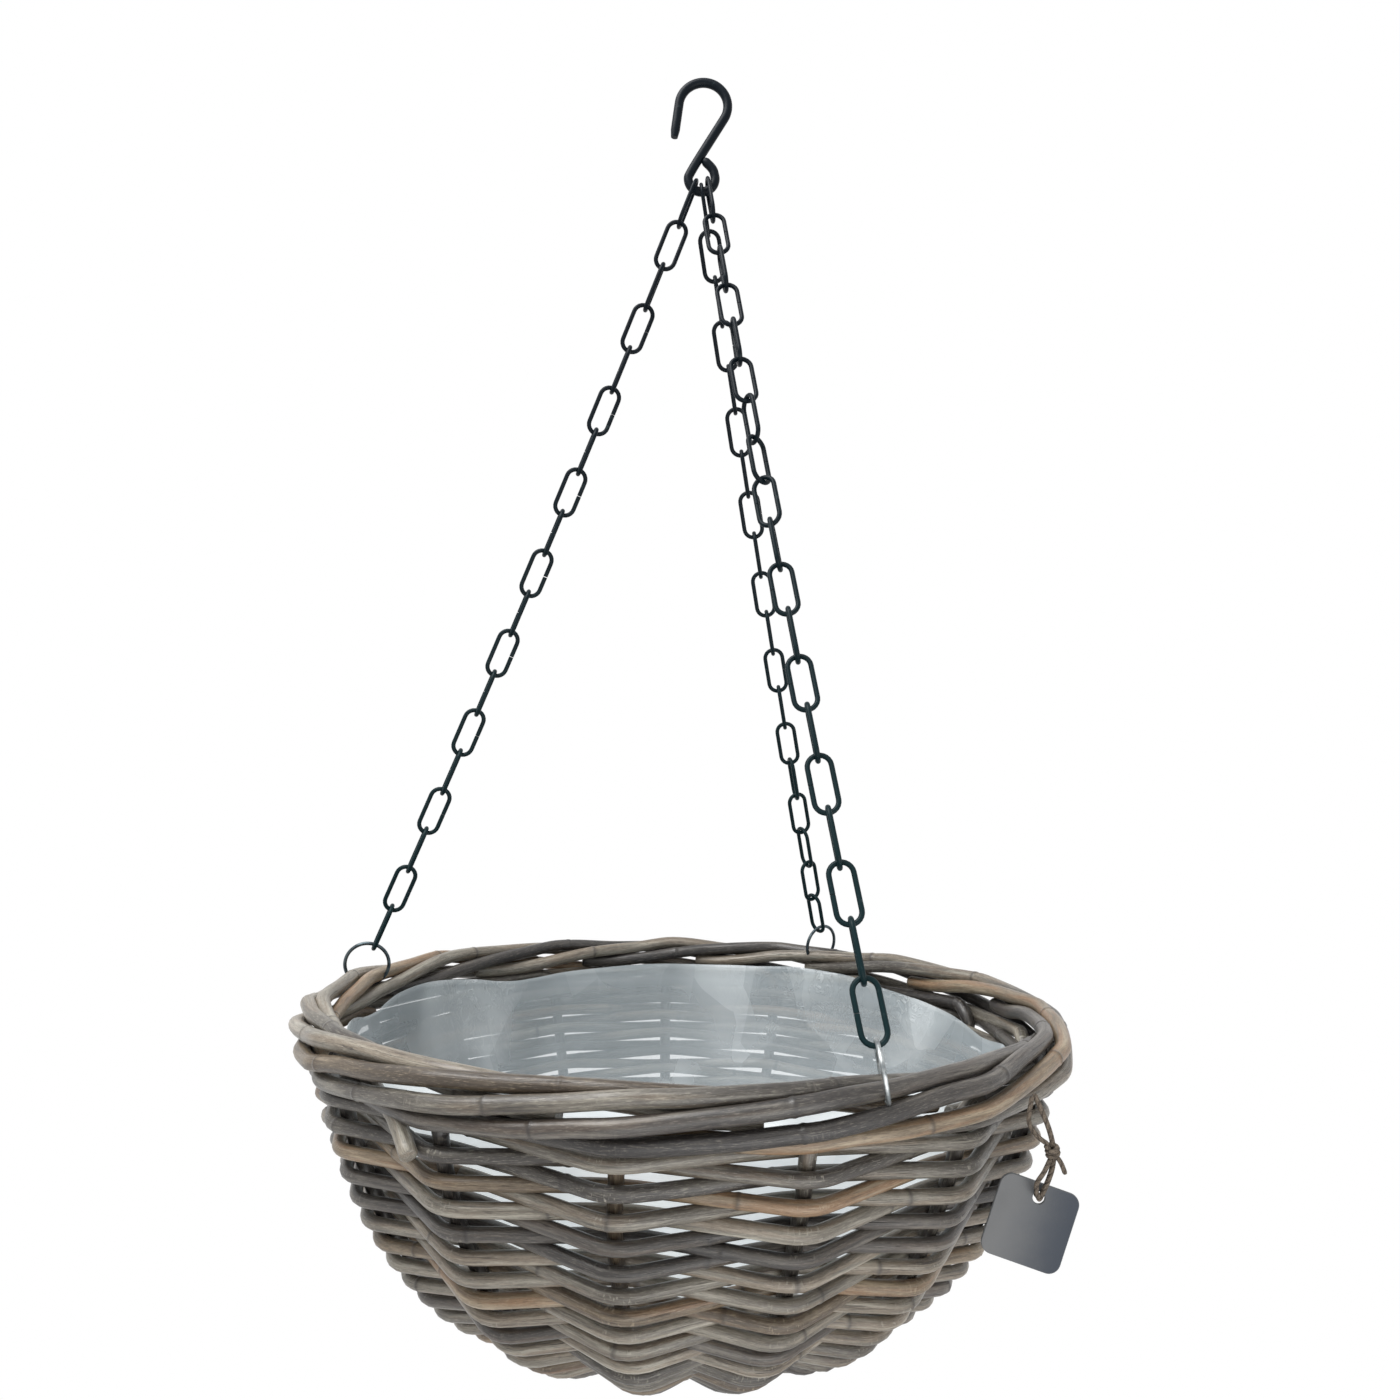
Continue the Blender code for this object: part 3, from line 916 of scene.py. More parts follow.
@dataclass
class Cane:
    """One length of rattan: its line, its girth, and the marks that its finish reads."""

    line: np.ndarray
    diameter: float
    seed: int
    tone: float
    spacing: float = 4.0
    wander: float = 0.25  # how far the line strays to each side
    wander_step: float = 31.0
    girth_drift: float = 0.035
    girth_step: float = 60.0
    tone_drift: float = 0.4
    tone_step: float = 85.0
    sides: int = 12
    joint_gap: tuple[float, float] = (70.0, 165.0)
    joint_rows: tuple[float, ...] = (-3.2, -2.0, -1.2, -0.5, 0.0, 0.5, 1.2)
    joint_swell: float = 0.075
    joint_length: float = 1.1
    groove_depth: float = 0.03
    groove_place: float = -2.2  # from the joint, along the cane
    end_clear: float = 6.0
    cut_edge: float = 0.5
    cut_shrink: float = 0.82
    # The diameter, and a factor on the tone that paints shade where it is low, at each point of the line
    # where they change along it.
    girths: np.ndarray | None = None
    painted_shade_factors: np.ndarray | None = None

    def joint_places(self, random: np.random.Generator, whole: float) -> np.ndarray:
        """Where the rattan's joints lie.

        Args:
            random: The source of the draws.
            whole: The cane's length.

        Returns:
            Their distances along the cane, none of them close to an end.
        """
        joints = np.cumsum(random.uniform(*self.joint_gap, int(whole / self.joint_gap[0]) + 2))
        joints = joints[joints < whole - self.end_clear] - random.uniform(0.0, self.joint_gap[0])
        return joints[joints > self.end_clear]

    def section_places(self, joints: np.ndarray, whole: float) -> np.ndarray:
        """Where the cane has a ring of vertices: evenly along it, and closer at joints and cut ends.

        Args:
            joints: The joints' distances along the cane.
            whole: The cane's length.

        Returns:
            The rings' distances along the cane.
        """
        even = np.linspace(0.0, whole, max(int(whole / self.spacing), 4))
        close = (joints[:, None] + np.array(self.joint_rows)[None, :]).ravel()
        ends = [self.cut_edge, whole - self.cut_edge, whole]
        places = np.unique(np.round(np.concatenate([even, close, ends]), 2))
        return places[np.concatenate([[True], np.diff(places) > 0.2])]

    def build(self, name: str, shop: Workshop, finish: bpy.types.Material) -> bpy.types.Object:
        """Sweep the cane.

        Args:
            name: The piece's name.
            shop: The shared trees.
            finish: The cane's material.

        Returns:
            The piece.
        """
        random = np.random.default_rng(self.seed)
        dense = length_along(self.line)
        joints = self.joint_places(random, dense[-1])
        places = self.section_places(joints, dense[-1])
        line = np.stack([np.interp(places, dense, self.line[:, axis]) for axis in range(3)], axis=1)
        astray = [drift(random, places, self.wander_step) for _ in range(3)]
        line += np.stack(astray, axis=1) * self.wander
        girth = np.full(len(places), self.diameter / 2)
        if self.girths is not None:
            girth = np.interp(places, dense, self.girths) / 2
        away = places[:, None] - joints[None, :]
        joint = np.exp(-(away / self.joint_length) ** 2).sum(axis=1)
        groove = np.exp(-(away - self.groove_place) ** 2).sum(axis=1)
        uneven = self.girth_drift * drift(random, places, self.girth_step)
        girth = girth * (1 + uneven + self.joint_swell * joint - self.groove_depth * groove)
        girth[[0, -1]] *= self.cut_shrink
        ahead = np.gradient(line, places, axis=0)
        turning = np.linalg.norm(np.gradient(ahead, places, axis=0), axis=1)
        bend = np.clip(turning * 22.0 - 0.2, 0.0, 1.0)
        tone = np.clip(self.tone + self.tone_drift * drift(random, places, self.tone_step), 0.0, 1.0)
        # Painted shade, where the line has factors for it.
        if self.painted_shade_factors is not None:
            tone = tone * np.interp(places, dense, self.painted_shade_factors)
        mesh = line_mesh(name, line, girth=girth * MM, tone=tone, joint=np.clip(joint, 0, 1), bend=bend,
                         along=(places + random.uniform(0.0, 9000.0)) * MM)
        return shop.bar.run(name, mesh, Sides=self.sides, Finish=finish)


@dataclass
class Hook:
    """The hook: one painted wire, bent to a crown over a closed eye."""

    wire: float = 5.0
    height: float = 61.0
    crown_radius: float = 13.3
    eye_radius: float = 7.3
    arc_steps: int = 24
    crown_turn: tuple[float, float] = (172.0, -30.0)
    eye_turn: tuple[float, float] = (170.0, 372.0)
    tip: tuple[float, float] = (-15.4, 30.0)
    waist: tuple[float, float] = (-3.4, 15.8)
    wire_end: tuple[tuple[float, float], ...] = ((6.1, 12.9), (1.0, 17.6))

    def line(self) -> np.ndarray:
        """The wire's centre line: tip, crown, shank, then the eye closed against the shank.

        Returns:
            The points in millimetres.
        """
        flat = [self.tip]
        crown_centre, eye_centre = (0.0, self.height - self.crown_radius), (0.0, self.eye_radius)
        flat += arc(crown_centre, self.crown_radius, *self.crown_turn, self.arc_steps)
        flat += [self.waist]
        flat += arc(eye_centre, self.eye_radius, *self.eye_turn, self.arc_steps)
        flat += list(self.wire_end)
        return rounded(np.array([(x, 0.0, z + EYE_BOTTOM_Z) for x, z in flat]), 3)

    def build(self, shop: Workshop) -> None:
        """Make the hook.

        Args:
            shop: The shared trees and finishes.
        """
        piece = shop.wire("hook_wire", self.line(), self.wire, shop.finish(CHAIN_PAINT), sides=24)
        dress(piece, Body.HOOK, Slot.PAINT, "hook")


@dataclass
class Wall:
    """The wall's shape: the line down it, and the points that weaving canes and stakes pass."""

    top: tuple[float, float] = (186.2, -8.7)
    foot: tuple[float, float] = (56.0, -151.3)
    # The curve between them is a superellipse, with one power across and one down.
    power_r: float = 2.196
    power_z: float = 1.468
    stakes: int = 15
    first_stake: float = -97.5
    offset: float = 6.9
    drawn_in: float = 0.3  # how far each cane presses towards the stake that it passes
    round_pitch: float = 6.03
    first_round: float = 11.4

    def __post_init__(self) -> None:
        """Work out the wall's curve as radius, height and length from its top."""
        s = np.linspace(0.0, math.pi / 2, 400)
        across, down = self.top[0] - self.foot[0], self.top[1] - self.foot[1]
        self.radius = self.foot[0] + across * np.clip(np.cos(s), 0, 1) ** (2 / self.power_r)
        self.height = self.top[1] - down * np.sin(s) ** (2 / self.power_z)
        steps = np.hypot(np.diff(self.radius), np.diff(self.height))
        self.length = np.concatenate([[0.0], np.cumsum(steps)])

    def point(self, distance: float, inset: float = 0.0) -> tuple[float, float]:
        """Radius and height at a distance down the wall.

        Args:
            distance: The length from the wall's top, or less than zero straight above it.
            inset: How far the point lies inside the weave's outer centre line.

        Returns:
            The radius and the height over the border's centre.
        """
        ends = [max(distance, 1.0) - 1.0, max(distance, 1.0) + 1.0]
        radii = np.interp(ends, self.length, self.radius)
        heights = np.interp(ends, self.length, self.height)
        slope = Vector((float(radii[1] - radii[0]), float(heights[1] - heights[0]))).normalized()
        radius = float(np.interp(distance, self.length, self.radius)) + inset * slope.y
        height = float(np.interp(distance, self.length, self.height)) - inset * slope.x
        return radius, height + max(-distance, 0.0)

    def stake_angle(self, index: int) -> float:
        """The angle of a stake, or of a pass counted on round the spiral."""
        return self.first_stake + 360.0 / self.stakes * index

    def pass_point(self, step: int) -> Vector:
        """Where the weave's spiral passes a stake: even passes in front, odd ones behind.

        Args:
            step: The pass, counted along the spiral.

        Returns:
            The cane's centre there.
        """
        distance = self.first_round + self.round_pitch * step / self.stakes
        inset = 2 * self.offset - self.drawn_in if step % 2 else self.drawn_in
        radius, height = self.point(distance, inset)
        return polar(radius, self.stake_angle(step), height)


@dataclass
class Weave:
    """The weaving canes, end to end along one spiral, in front of one stake and behind the next."""

    wall: Wall
    canes: int = 16
    diameter: float = 6.2
    bend_reach: float = 8.5
    bend_share: float = 0.42  # the most of a stretch between stakes that one bend takes up
    bend_steps: int = 8
    lead_in: int = 12  # passes that the first cane starts earlier, so that the top has no step
    finishes: tuple[CaneFinish, ...] = (GREY_CANE, BROWN_CANE, GREY_CANE, DARK_CANE, GREY_CANE)
    seed: int = 4100

    def first_pass(self, index: int) -> int:
        """The pass at which a cane starts: always behind a stake, and seldom under the last one's start."""
        shift = (5 * index) % 7 - 3 if 0 < index < self.canes else 0
        return 2 * (self.wall.stakes * index + shift) - 1 - (0 if index else self.lead_in)

    def line(self, first: int, last: int) -> np.ndarray:
        """A cane's centre line between two passes: straight between the stakes and rounded at them.

        Args:
            first: The pass that it starts from.
            last: The pass that it ends at.

        Returns:
            The points in millimetres.
        """
        corners = np.array([self.wall.pass_point(step) for step in range(first - 1, last + 2)])
        back, on = corners[:-2] - corners[1:-1], corners[2:] - corners[1:-1]
        back_length, on_length = np.linalg.norm(back, axis=1), np.linalg.norm(on, axis=1)
        longest = self.bend_share * np.minimum(back_length, on_length)
        reach = np.minimum(self.bend_reach, longest)[:, None]
        back, on = back / back_length[:, None], on / on_length[:, None]
        middle = corners[1:-1] - (back + on) * reach / 4
        starts, ends = middle + back * reach, middle + on * reach
        points = []
        shares = np.linspace(0.0, 1.0, self.bend_steps + 1)[:, None]
        rest = 1 - shares
        for start, corner, end in zip(starts, middle, ends):
            points.append(start * rest ** 2 + corner * 2 * shares * rest + end * shares ** 2)
        half = self.bend_steps // 2
        points[0] = points[0][half:]
        points[-1] = points[-1][:half + 1]
        return np.vstack(points)

    def build(self, shop: Workshop) -> None:
        """Make every weaving cane.

        Args:
            shop: The shared trees and finishes.
        """
        random = np.random.default_rng(self.seed)
        for index in range(self.canes):
            line = self.line(self.first_pass(index), self.first_pass(index + 1))
            tone, girth = random.uniform(0.1, 0.95), random.uniform(-0.35, 0.35)
            cane = Cane(line, self.diameter + girth, self.seed + index, float(tone))
            name = f"weaver_{index + 1:02d}"
            finish = shop.finish(self.finishes[index % len(self.finishes)])
            dress(cane.build(f"{name}_cane", shop, finish), Body.BASKET, Slot.CANE, name)


class StakeShade(Enum):
    """How a stake looks: its finish, and what is added to its tone."""

    GREY = (GREY_CANE, 0.0)
    DARK = (DARK_CANE, 0.0)
    BROWN = (BROWN_CANE, 0.0)
    PALE_GREY = (GREY_CANE, 0.45)
    PALE_BROWN = (BROWN_CANE, 0.45)


@dataclass
class Stakes:
    """The stakes, each up the wall and then over into one turn of the rolled border."""

    wall: Wall
    chain_angles: tuple[float, ...]
    diameter: float = 6.4
    border_diameter: float = 7.4
    rim_radius: float = 185.2
    half_width: float = 8.1
    half_height: float = 10.2
    drop: float = 2.2
    strands: int = 6
    free_end: float = 6.0
    bend: float = 2.6
    # Where a stake leaves the wall: in from the rim's radius, under its centre, and degrees onward.
    neck: tuple[float, float] = (-7.6, -13.6)
    neck_turn: float = 0.5
    start_turn: float = -130.0  # where in the border's section a stake's end begins, in degrees
    foot: float = 1.5
    top: float = 8.5
    straightness: float = 0.6
    tail_reach: float = 14.0
    tail_tuck: float = 0.8  # how far a cut end goes towards the border's centre
    wall_steps: int = 16
    border_step: float = 3.0
    # The height at which the stakes start to thicken to the border's canes, and over how much.
    swell_from: float = -30.0
    swell_over: float = 22.0
    # The one stake whose end stands free at the front left, and that end's line.
    peg_stake: int = 8
    peg: tuple[tuple[float, float, float], ...] = (
        (-122.4, -134.5, -9.0),
        (-115.1, -142.0, -13.1),
        (-110.9, -149.0, -17.4),
        (-107.0, -155.6, -21.5),
        (-103.2, -162.0, -25.6),
    )
    shades: tuple[StakeShade, ...] = (
        StakeShade.PALE_BROWN,
        StakeShade.PALE_GREY,
        StakeShade.PALE_GREY,
        StakeShade.DARK,
        StakeShade.PALE_GREY,
        StakeShade.DARK,
        StakeShade.PALE_GREY,
        StakeShade.PALE_BROWN,
        StakeShade.PALE_GREY,
        StakeShade.PALE_GREY,
        StakeShade.PALE_GREY,
        StakeShade.BROWN,
        StakeShade.GREY,
        StakeShade.DARK,
        StakeShade.DARK,
    )
    seed: int = 7300

    def phase_shift(self, angle: float) -> float:
        """What is added to the canes' turn, so that each chain's ring has a cane right under it.

        Args:
            angle: The angle round the basket.

        Returns:
            The shift in degrees.
        """
        spacing = 360.0 / self.strands
        rate = self.wall.stakes / self.strands
        knots = []
        for ring_angle in self.chain_angles:
            shift = -(rate * (ring_angle - self.wall.first_stake) + self.start_turn) % spacing
            knots.append((ring_angle % 360.0, shift if shift < spacing / 4 else shift - spacing))
        knots.sort()
        places = [knots[-1][0] - 360.0] + [k[0] for k in knots] + [knots[0][0] + 360.0]
        shifts = [knots[-1][1]] + [k[1] for k in knots] + [knots[0][1]]
        return float(np.interp(angle % 360.0, places, shifts))

    def border_point(self, stake_angle: float, onward: float) -> Vector:
        """A point of a stake's bent-over end.

        Args:
            stake_angle: The stake's own angle.
            onward: The angle further round the basket.

        Returns:
            The cane's centre there.
        """
        angle = stake_angle + onward
        turn = self.wall.stakes / self.strands * onward + self.start_turn + self.phase_shift(angle)
        phase = math.radians(turn)
        radius = self.rim_radius + self.half_width * math.cos(phase)
        return polar(radius, angle, self.half_height * math.sin(phase) - self.drop)

    def strand_point(self, stake_angle: float, onward: float) -> Vector:
        """A point of a stake's bent-over end, drawn nearly straight from one stake to the next.

        Args:
            stake_angle: The stake's own angle.
            onward: The angle further round the basket.

        Returns:
            The cane's centre there, which near the cut end goes in among the other canes.
        """
        span = 360.0 / self.wall.stakes
        before = math.floor(onward / span) * span
        start, end = self.border_point(stake_angle, before), self.border_point(stake_angle, before + span)
        bowed = self.border_point(stake_angle, onward)
        point = bowed.lerp(start.lerp(end, (onward - before) / span), self.straightness)
        left = span * self.strands - self.free_end - onward
        heart = polar(self.rim_radius - 1.0, stake_angle + onward, -self.drop)
        return point.lerp(heart, self.tail_tuck * (1.0 - min(max(left / self.tail_reach, 0.0), 1.0)))

    def line(self, index: int) -> tuple[np.ndarray, np.ndarray]:
        """A stake's centre line from the base to its cut end, and its diameter along it.

        Args:
            index: The stake's number, from 0.

        Returns:
            The points in millimetres, and the diameter at each.
        """
        angle = self.wall.stake_angle(index)
        foot = self.wall.length[-1] - self.foot
        points = []
        for step in range(self.wall_steps + 1):
            distance = foot - (foot - self.top) * step / self.wall_steps
            radius, height = self.wall.point(distance, self.wall.offset)
            points.append(polar(radius, angle, height))
        points.append(polar(self.rim_radius + self.neck[0], angle + self.neck_turn, self.neck[1]))
        last = 360.0 / self.wall.stakes * self.strands - self.free_end
        if index == self.peg_stake:
            last -= 2.0 * self.free_end
        for onward in np.arange(self.bend, last + 0.1, self.border_step):
            points.append(self.strand_point(angle, float(onward)))
        if index == self.peg_stake:
            points += [Vector((x, y, z + BASKET_Z)) for x, y, z in self.peg]
        line = rounded(np.array([tuple(p) for p in points]), 3)
        swell = np.clip((line[:, 2] - BASKET_Z - self.swell_from) / self.swell_over, 0.0, 1.0)
        swell = np.maximum.accumulate(swell)
        return line, self.diameter + (self.border_diameter - self.diameter) * swell

    def build(self, shop: Workshop) -> None:
        """Make every stake.

        Args:
            shop: The shared trees and finishes.
        """
        random = np.random.default_rng(self.seed)
        for index in range(self.wall.stakes):
            line, girths = self.line(index)
            # Up the wall the stakes are darkened as painted shade; over the border they keep their tone.
            wall_painted_shade = 0.1 + 0.9 * (girths - self.diameter) / (self.border_diameter - self.diameter)
            finish, paler = self.shades[index].value
            tone = float(random.uniform(0.05, 0.4)) + paler
            cane = Cane(line, self.diameter, self.seed + index, tone, wander=0.8, girths=girths,
                        painted_shade_factors=wall_painted_shade, sides=14)
            name = f"stake_{index + 1:02d}"
            dress(cane.build(f"{name}_cane", shop, shop.finish(finish)), Body.BASKET, Slot.CANE, name)


@dataclass
class Base:
    """The woven base: sticks across it, and canes that go round over one stick and under the next."""

    wall: Wall
    radius: float = 55.0
    middle: float = -148.1
    sticks: int = 15
    stick: float = 4.6
    stick_start: float = 6.0
    cane: float = 4.2
    weave_start: float = 8.0
    pitch: float = 4.5
    wave_steps: int = 4
    wave_share: float = 0.9
    hub: float = 10.5
    hub_reach: float = 9.0
    hub_angle: float = 20.0
    seed: int = 9100

    def spoke(self, start: float, end: float, angle: float, steps: int) -> np.ndarray:
        """A straight line in the base's middle plane.

        Args:
            start: The radius that it starts at.
            end: The radius that it ends at, less than zero past the centre.
            angle: Its angle round the basket.
            steps: How many stretches it has.

        Returns:
            The points in millimetres.
        """
        return np.array([tuple(polar(start + (end - start) * i / steps, angle, self.middle))
                         for i in range(steps + 1)])

    def spiral(self) -> np.ndarray:
        """The line of the cane that goes round, over one stick and under the next.

        Returns:
            The points in millimetres.
        """
        rounds = int((self.radius - self.weave_start) / self.pitch)
        lift = (self.stick + self.cane) / 2 * self.wave_share
        points = []
        for step in range(rounds * self.sticks * self.wave_steps):
            turn = step / self.wave_steps
            radius = self.weave_start + self.pitch * turn / self.sticks
            angle = self.wall.stake_angle(0) + 360.0 / self.sticks * turn
            points.append(tuple(polar(radius, angle, self.middle + math.cos(math.pi * turn) * lift)))
        return rounded(np.array(points), 2)

    def build(self, shop: Workshop) -> None:
        """Make the base in one piece, from its sticks, its spiral and the knob in its centre.

        Args:
            shop: The shared trees and finishes.
        """
        finish = shop.finish(DARK_CANE)
        parts = []
        for index in range(self.sticks):
            line = self.spoke(self.stick_start, self.radius - 1.0, self.wall.stake_angle(index), 12)
            stick = Cane(line, self.stick, self.seed + index, 0.4, sides=10, wander=0.1)
            parts.append(stick.build(f"base_stick_{index}", shop, finish))
        spiral = Cane(self.spiral(), self.cane, self.seed + 99, 0.6, sides=10, wander=0.15)
        parts.append(spiral.build("base_spiral", shop, finish))
        line = self.spoke(self.hub_reach, -self.hub_reach, self.hub_angle, 8)
        hub = Cane(line, self.hub, self.seed + 120, 0.3, sides=14, wander=0.0)
        parts.append(hub.build("base_hub", shop, finish))
        piece = join_pieces("base_weave", parts)
        dress(piece, Body.BASKET, Slot.CANE, "base")


def join_pieces(name: str, parts: Sequence[bpy.types.Object]) -> bpy.types.Object:
    """Several pieces of one finish as one mesh.

    Args:
        name: The new piece's name.
        parts: The pieces, which are used up.

    Returns:
        The one piece.
    """
    keep = parts[0]
    with bpy.context.temp_override(active_object=keep, selected_editable_objects=list(parts)):
        bpy.ops.object.join()
    keep.name = name
    keep.data.name = name
    return keep


@dataclass
class Liner:
    """The film liner: a crinkled bowl of thin film inside the wall, with a wavy upper edge."""

    wall: Wall
    inset: float = 17.6
    thickness: float = 0.3
    top: float = -5.5
    top_drift: float = 1.6
    top_step: float = 9.0
    # Where the upper edge hangs lower: angle, reach and depth.
    dips: tuple[tuple[float, float, float], ...] = (
        (10.0, 26.0, 17.0),
        (128.0, 18.0, 7.0),
        (176.0, 14.0, 6.0),
    )
    # Where the film is crinkled under its edge: angle and reach.
    crinkles: tuple[tuple[float, float], ...] = ((62.0, 13.0), (38.0, 9.0), (140.0, 10.0))
    # The folds: how many of each kind there are round the film, how much they lean and their depth.
    fold_waves: tuple[int, ...] = (4, 7, 11, 17)
    fold_lean: float = 1.6
    fold_depth: float = 16.0
    fold_rise: float = 1.4
    fold_limit: float = 6.0
    crinkle_depth: float = 0.12  # as a share of the film's height, as is the hem's
    hem_depth: float = 0.085
    # The near half's marks give the film its painted glow and painted light.
    lit_reach: float = 0.25  # how far past the basket's middle plane the near half's marks reach
    foot_margin: float = 10.0
    columns: int = 300
    rows: int = 56
    flat_side: float = 0.5
    seed: int = 515

    def folds(self) -> np.ndarray:
        """How far the film stands in from the wall at each row and column, in millimetres.

        Returns:
            A table of depths, with a line for each row and a place for each column.
        """
        random = np.random.default_rng(self.seed)
        turn = np.linspace(0.0, 2 * math.pi, self.columns, endpoint=False)[None, :]
        down = np.linspace(0.0, 1.0, self.rows)[:, None]
        depth = np.zeros((self.rows, self.columns))
        for waves in self.fold_waves:
            start = random.uniform(0, 2 * math.pi)
            lean = random.uniform(-self.fold_lean, self.fold_lean)
            sway = 0.5 * np.sin(2 * turn + 3.0 * down + start)
            fold = 1 - np.abs(np.sin((waves * turn + lean * down * 3 + start + sway) / 2)) * 2
            depth += self.fold_depth / (waves + 8) * fold
        depth = np.clip(depth + self.fold_rise, 0.0, self.fold_limit)
        return depth * (1.0 - 0.5 * down)

    def angles(self) -> np.ndarray:
        """The columns' angles round the basket."""
        return 360.0 / self.columns * np.arange(self.columns)

    def near(self, angle: float, reach: float) -> np.ndarray:
        """How near each column is to a place on the rim.

        Args:
            angle: The place's angle round the basket.
            reach: How far it reaches to both sides, in degrees.

        Returns:
            Shares that are 1 at the place and fall softly to 0 at both sides.
        """
        away = (self.angles() - angle + 180.0) % 360.0 - 180.0
        return np.exp(-(away / reach) ** 2)

    def points(self) -> list[Vector]:
        """The film's vertices in metres, each layer row by row from its upper edge.

        Returns:
            The outer layer's vertices, the inner layer's, and then their two centres.
        """
        inward = self.folds()
        random = np.random.default_rng(self.seed + 1)
        columns = np.arange(self.columns + 1, dtype=float)
        tops = self.top + drift(random, columns, self.top_step)[:-1] * self.top_drift
        for angle, reach, depth in self.dips:
            tops += depth * self.near(angle, reach)
        last = self.wall.length[-1] - self.foot_margin
        points = []
        for layer in (0.0, self.thickness):
            for row in range(self.rows):
                share = row / (self.rows - 1)
                for column, angle in enumerate(self.angles()):
                    distance = tops[column] + (last - tops[column]) * share
                    radius, height = self.wall.point(distance, self.inset + layer + inward[row, column])
                    points.append(polar(radius, angle, height) * MM)
        floor_z = self.wall.point(last, self.inset)[1]
        return points + [polar(0.0, 0.0, floor_z + layer) * MM for layer in (0.0, self.thickness)]

    def faces(self) -> list[tuple[int, ...]]:
        """The faces: both layers with their floors, and the strip between them along the upper edge.

        Returns:
            The numbers of each face's vertices.
        """
        size = self.rows * self.columns
        faces = []
        for row in range(self.rows - 1):
            for column in range(self.columns):
                a, b = row * self.columns + column, row * self.columns + (column + 1) % self.columns
                c, d = b + self.columns, a + self.columns
                faces += [(a, d, c, b), (a + size, b + size, c + size, d + size)]
        for column in range(self.columns):
            a, b = column, (column + 1) % self.columns
            faces.append((a, b, b + size, a + size))
            foot = (self.rows - 1) * self.columns
            faces += [(2 * size, foot + b, foot + a), (2 * size + 1, foot + a + size, foot + b + size)]
        return faces

    def marks(self) -> dict[str, np.ndarray]:
        """What the film's finish reads at each vertex.

        Returns:
            Crinkle and hem on both layers, outer on the outer layer's near half, where it gives the film
            its painted glow and painted light, and backed on the inner layer's.
        """
        down = np.linspace(0.0, 1.0, self.rows)[:, None]
        across = np.ones(self.columns)[None, :]
        crinkled = sum(self.near(angle, reach) for angle, reach in self.crinkles)
        crinkle = (np.exp(-down / self.crinkle_depth) * crinkled[None, :]).ravel()
        hem = (np.exp(-(down / self.hem_depth) ** 4) * across).ravel()
        # The near half, which gets the painted glow and painted light.
        lit = np.clip(self.lit_reach - np.sin(np.radians(self.angles())), 0.0, 1.0)
        near_half = np.tile(lit, self.rows)
        bare = np.zeros(self.rows * self.columns)
        layers = {
            "crinkle": (crinkle, crinkle),
            "hem": (hem, hem),
            "outer": (near_half, bare),
            "backed": (bare, near_half),
        }
        centres = np.zeros(2)
        return {name: np.concatenate([*pair, centres]).astype(np.float32) for name, pair in layers.items()}

    def build(self, shop: Workshop) -> None:
        """Make the film.

        Args:
            shop: The shared trees and finishes.
        """
        mesh = bpy.data.meshes.new("liner_film")
        mesh.from_pydata([tuple(p) for p in self.points()], [], self.faces())
        mesh.shade_smooth()
        for name, values in self.marks().items():
            mark = mesh.attributes.new(name, "FLOAT", "POINT")
            mark.data.foreach_set("value", values)
        piece = new_object("liner_film", mesh)
        mesh.materials.append(shop.finish(FILM))
        dress(piece, Body.BASKET, Slot.FILM, "liner")


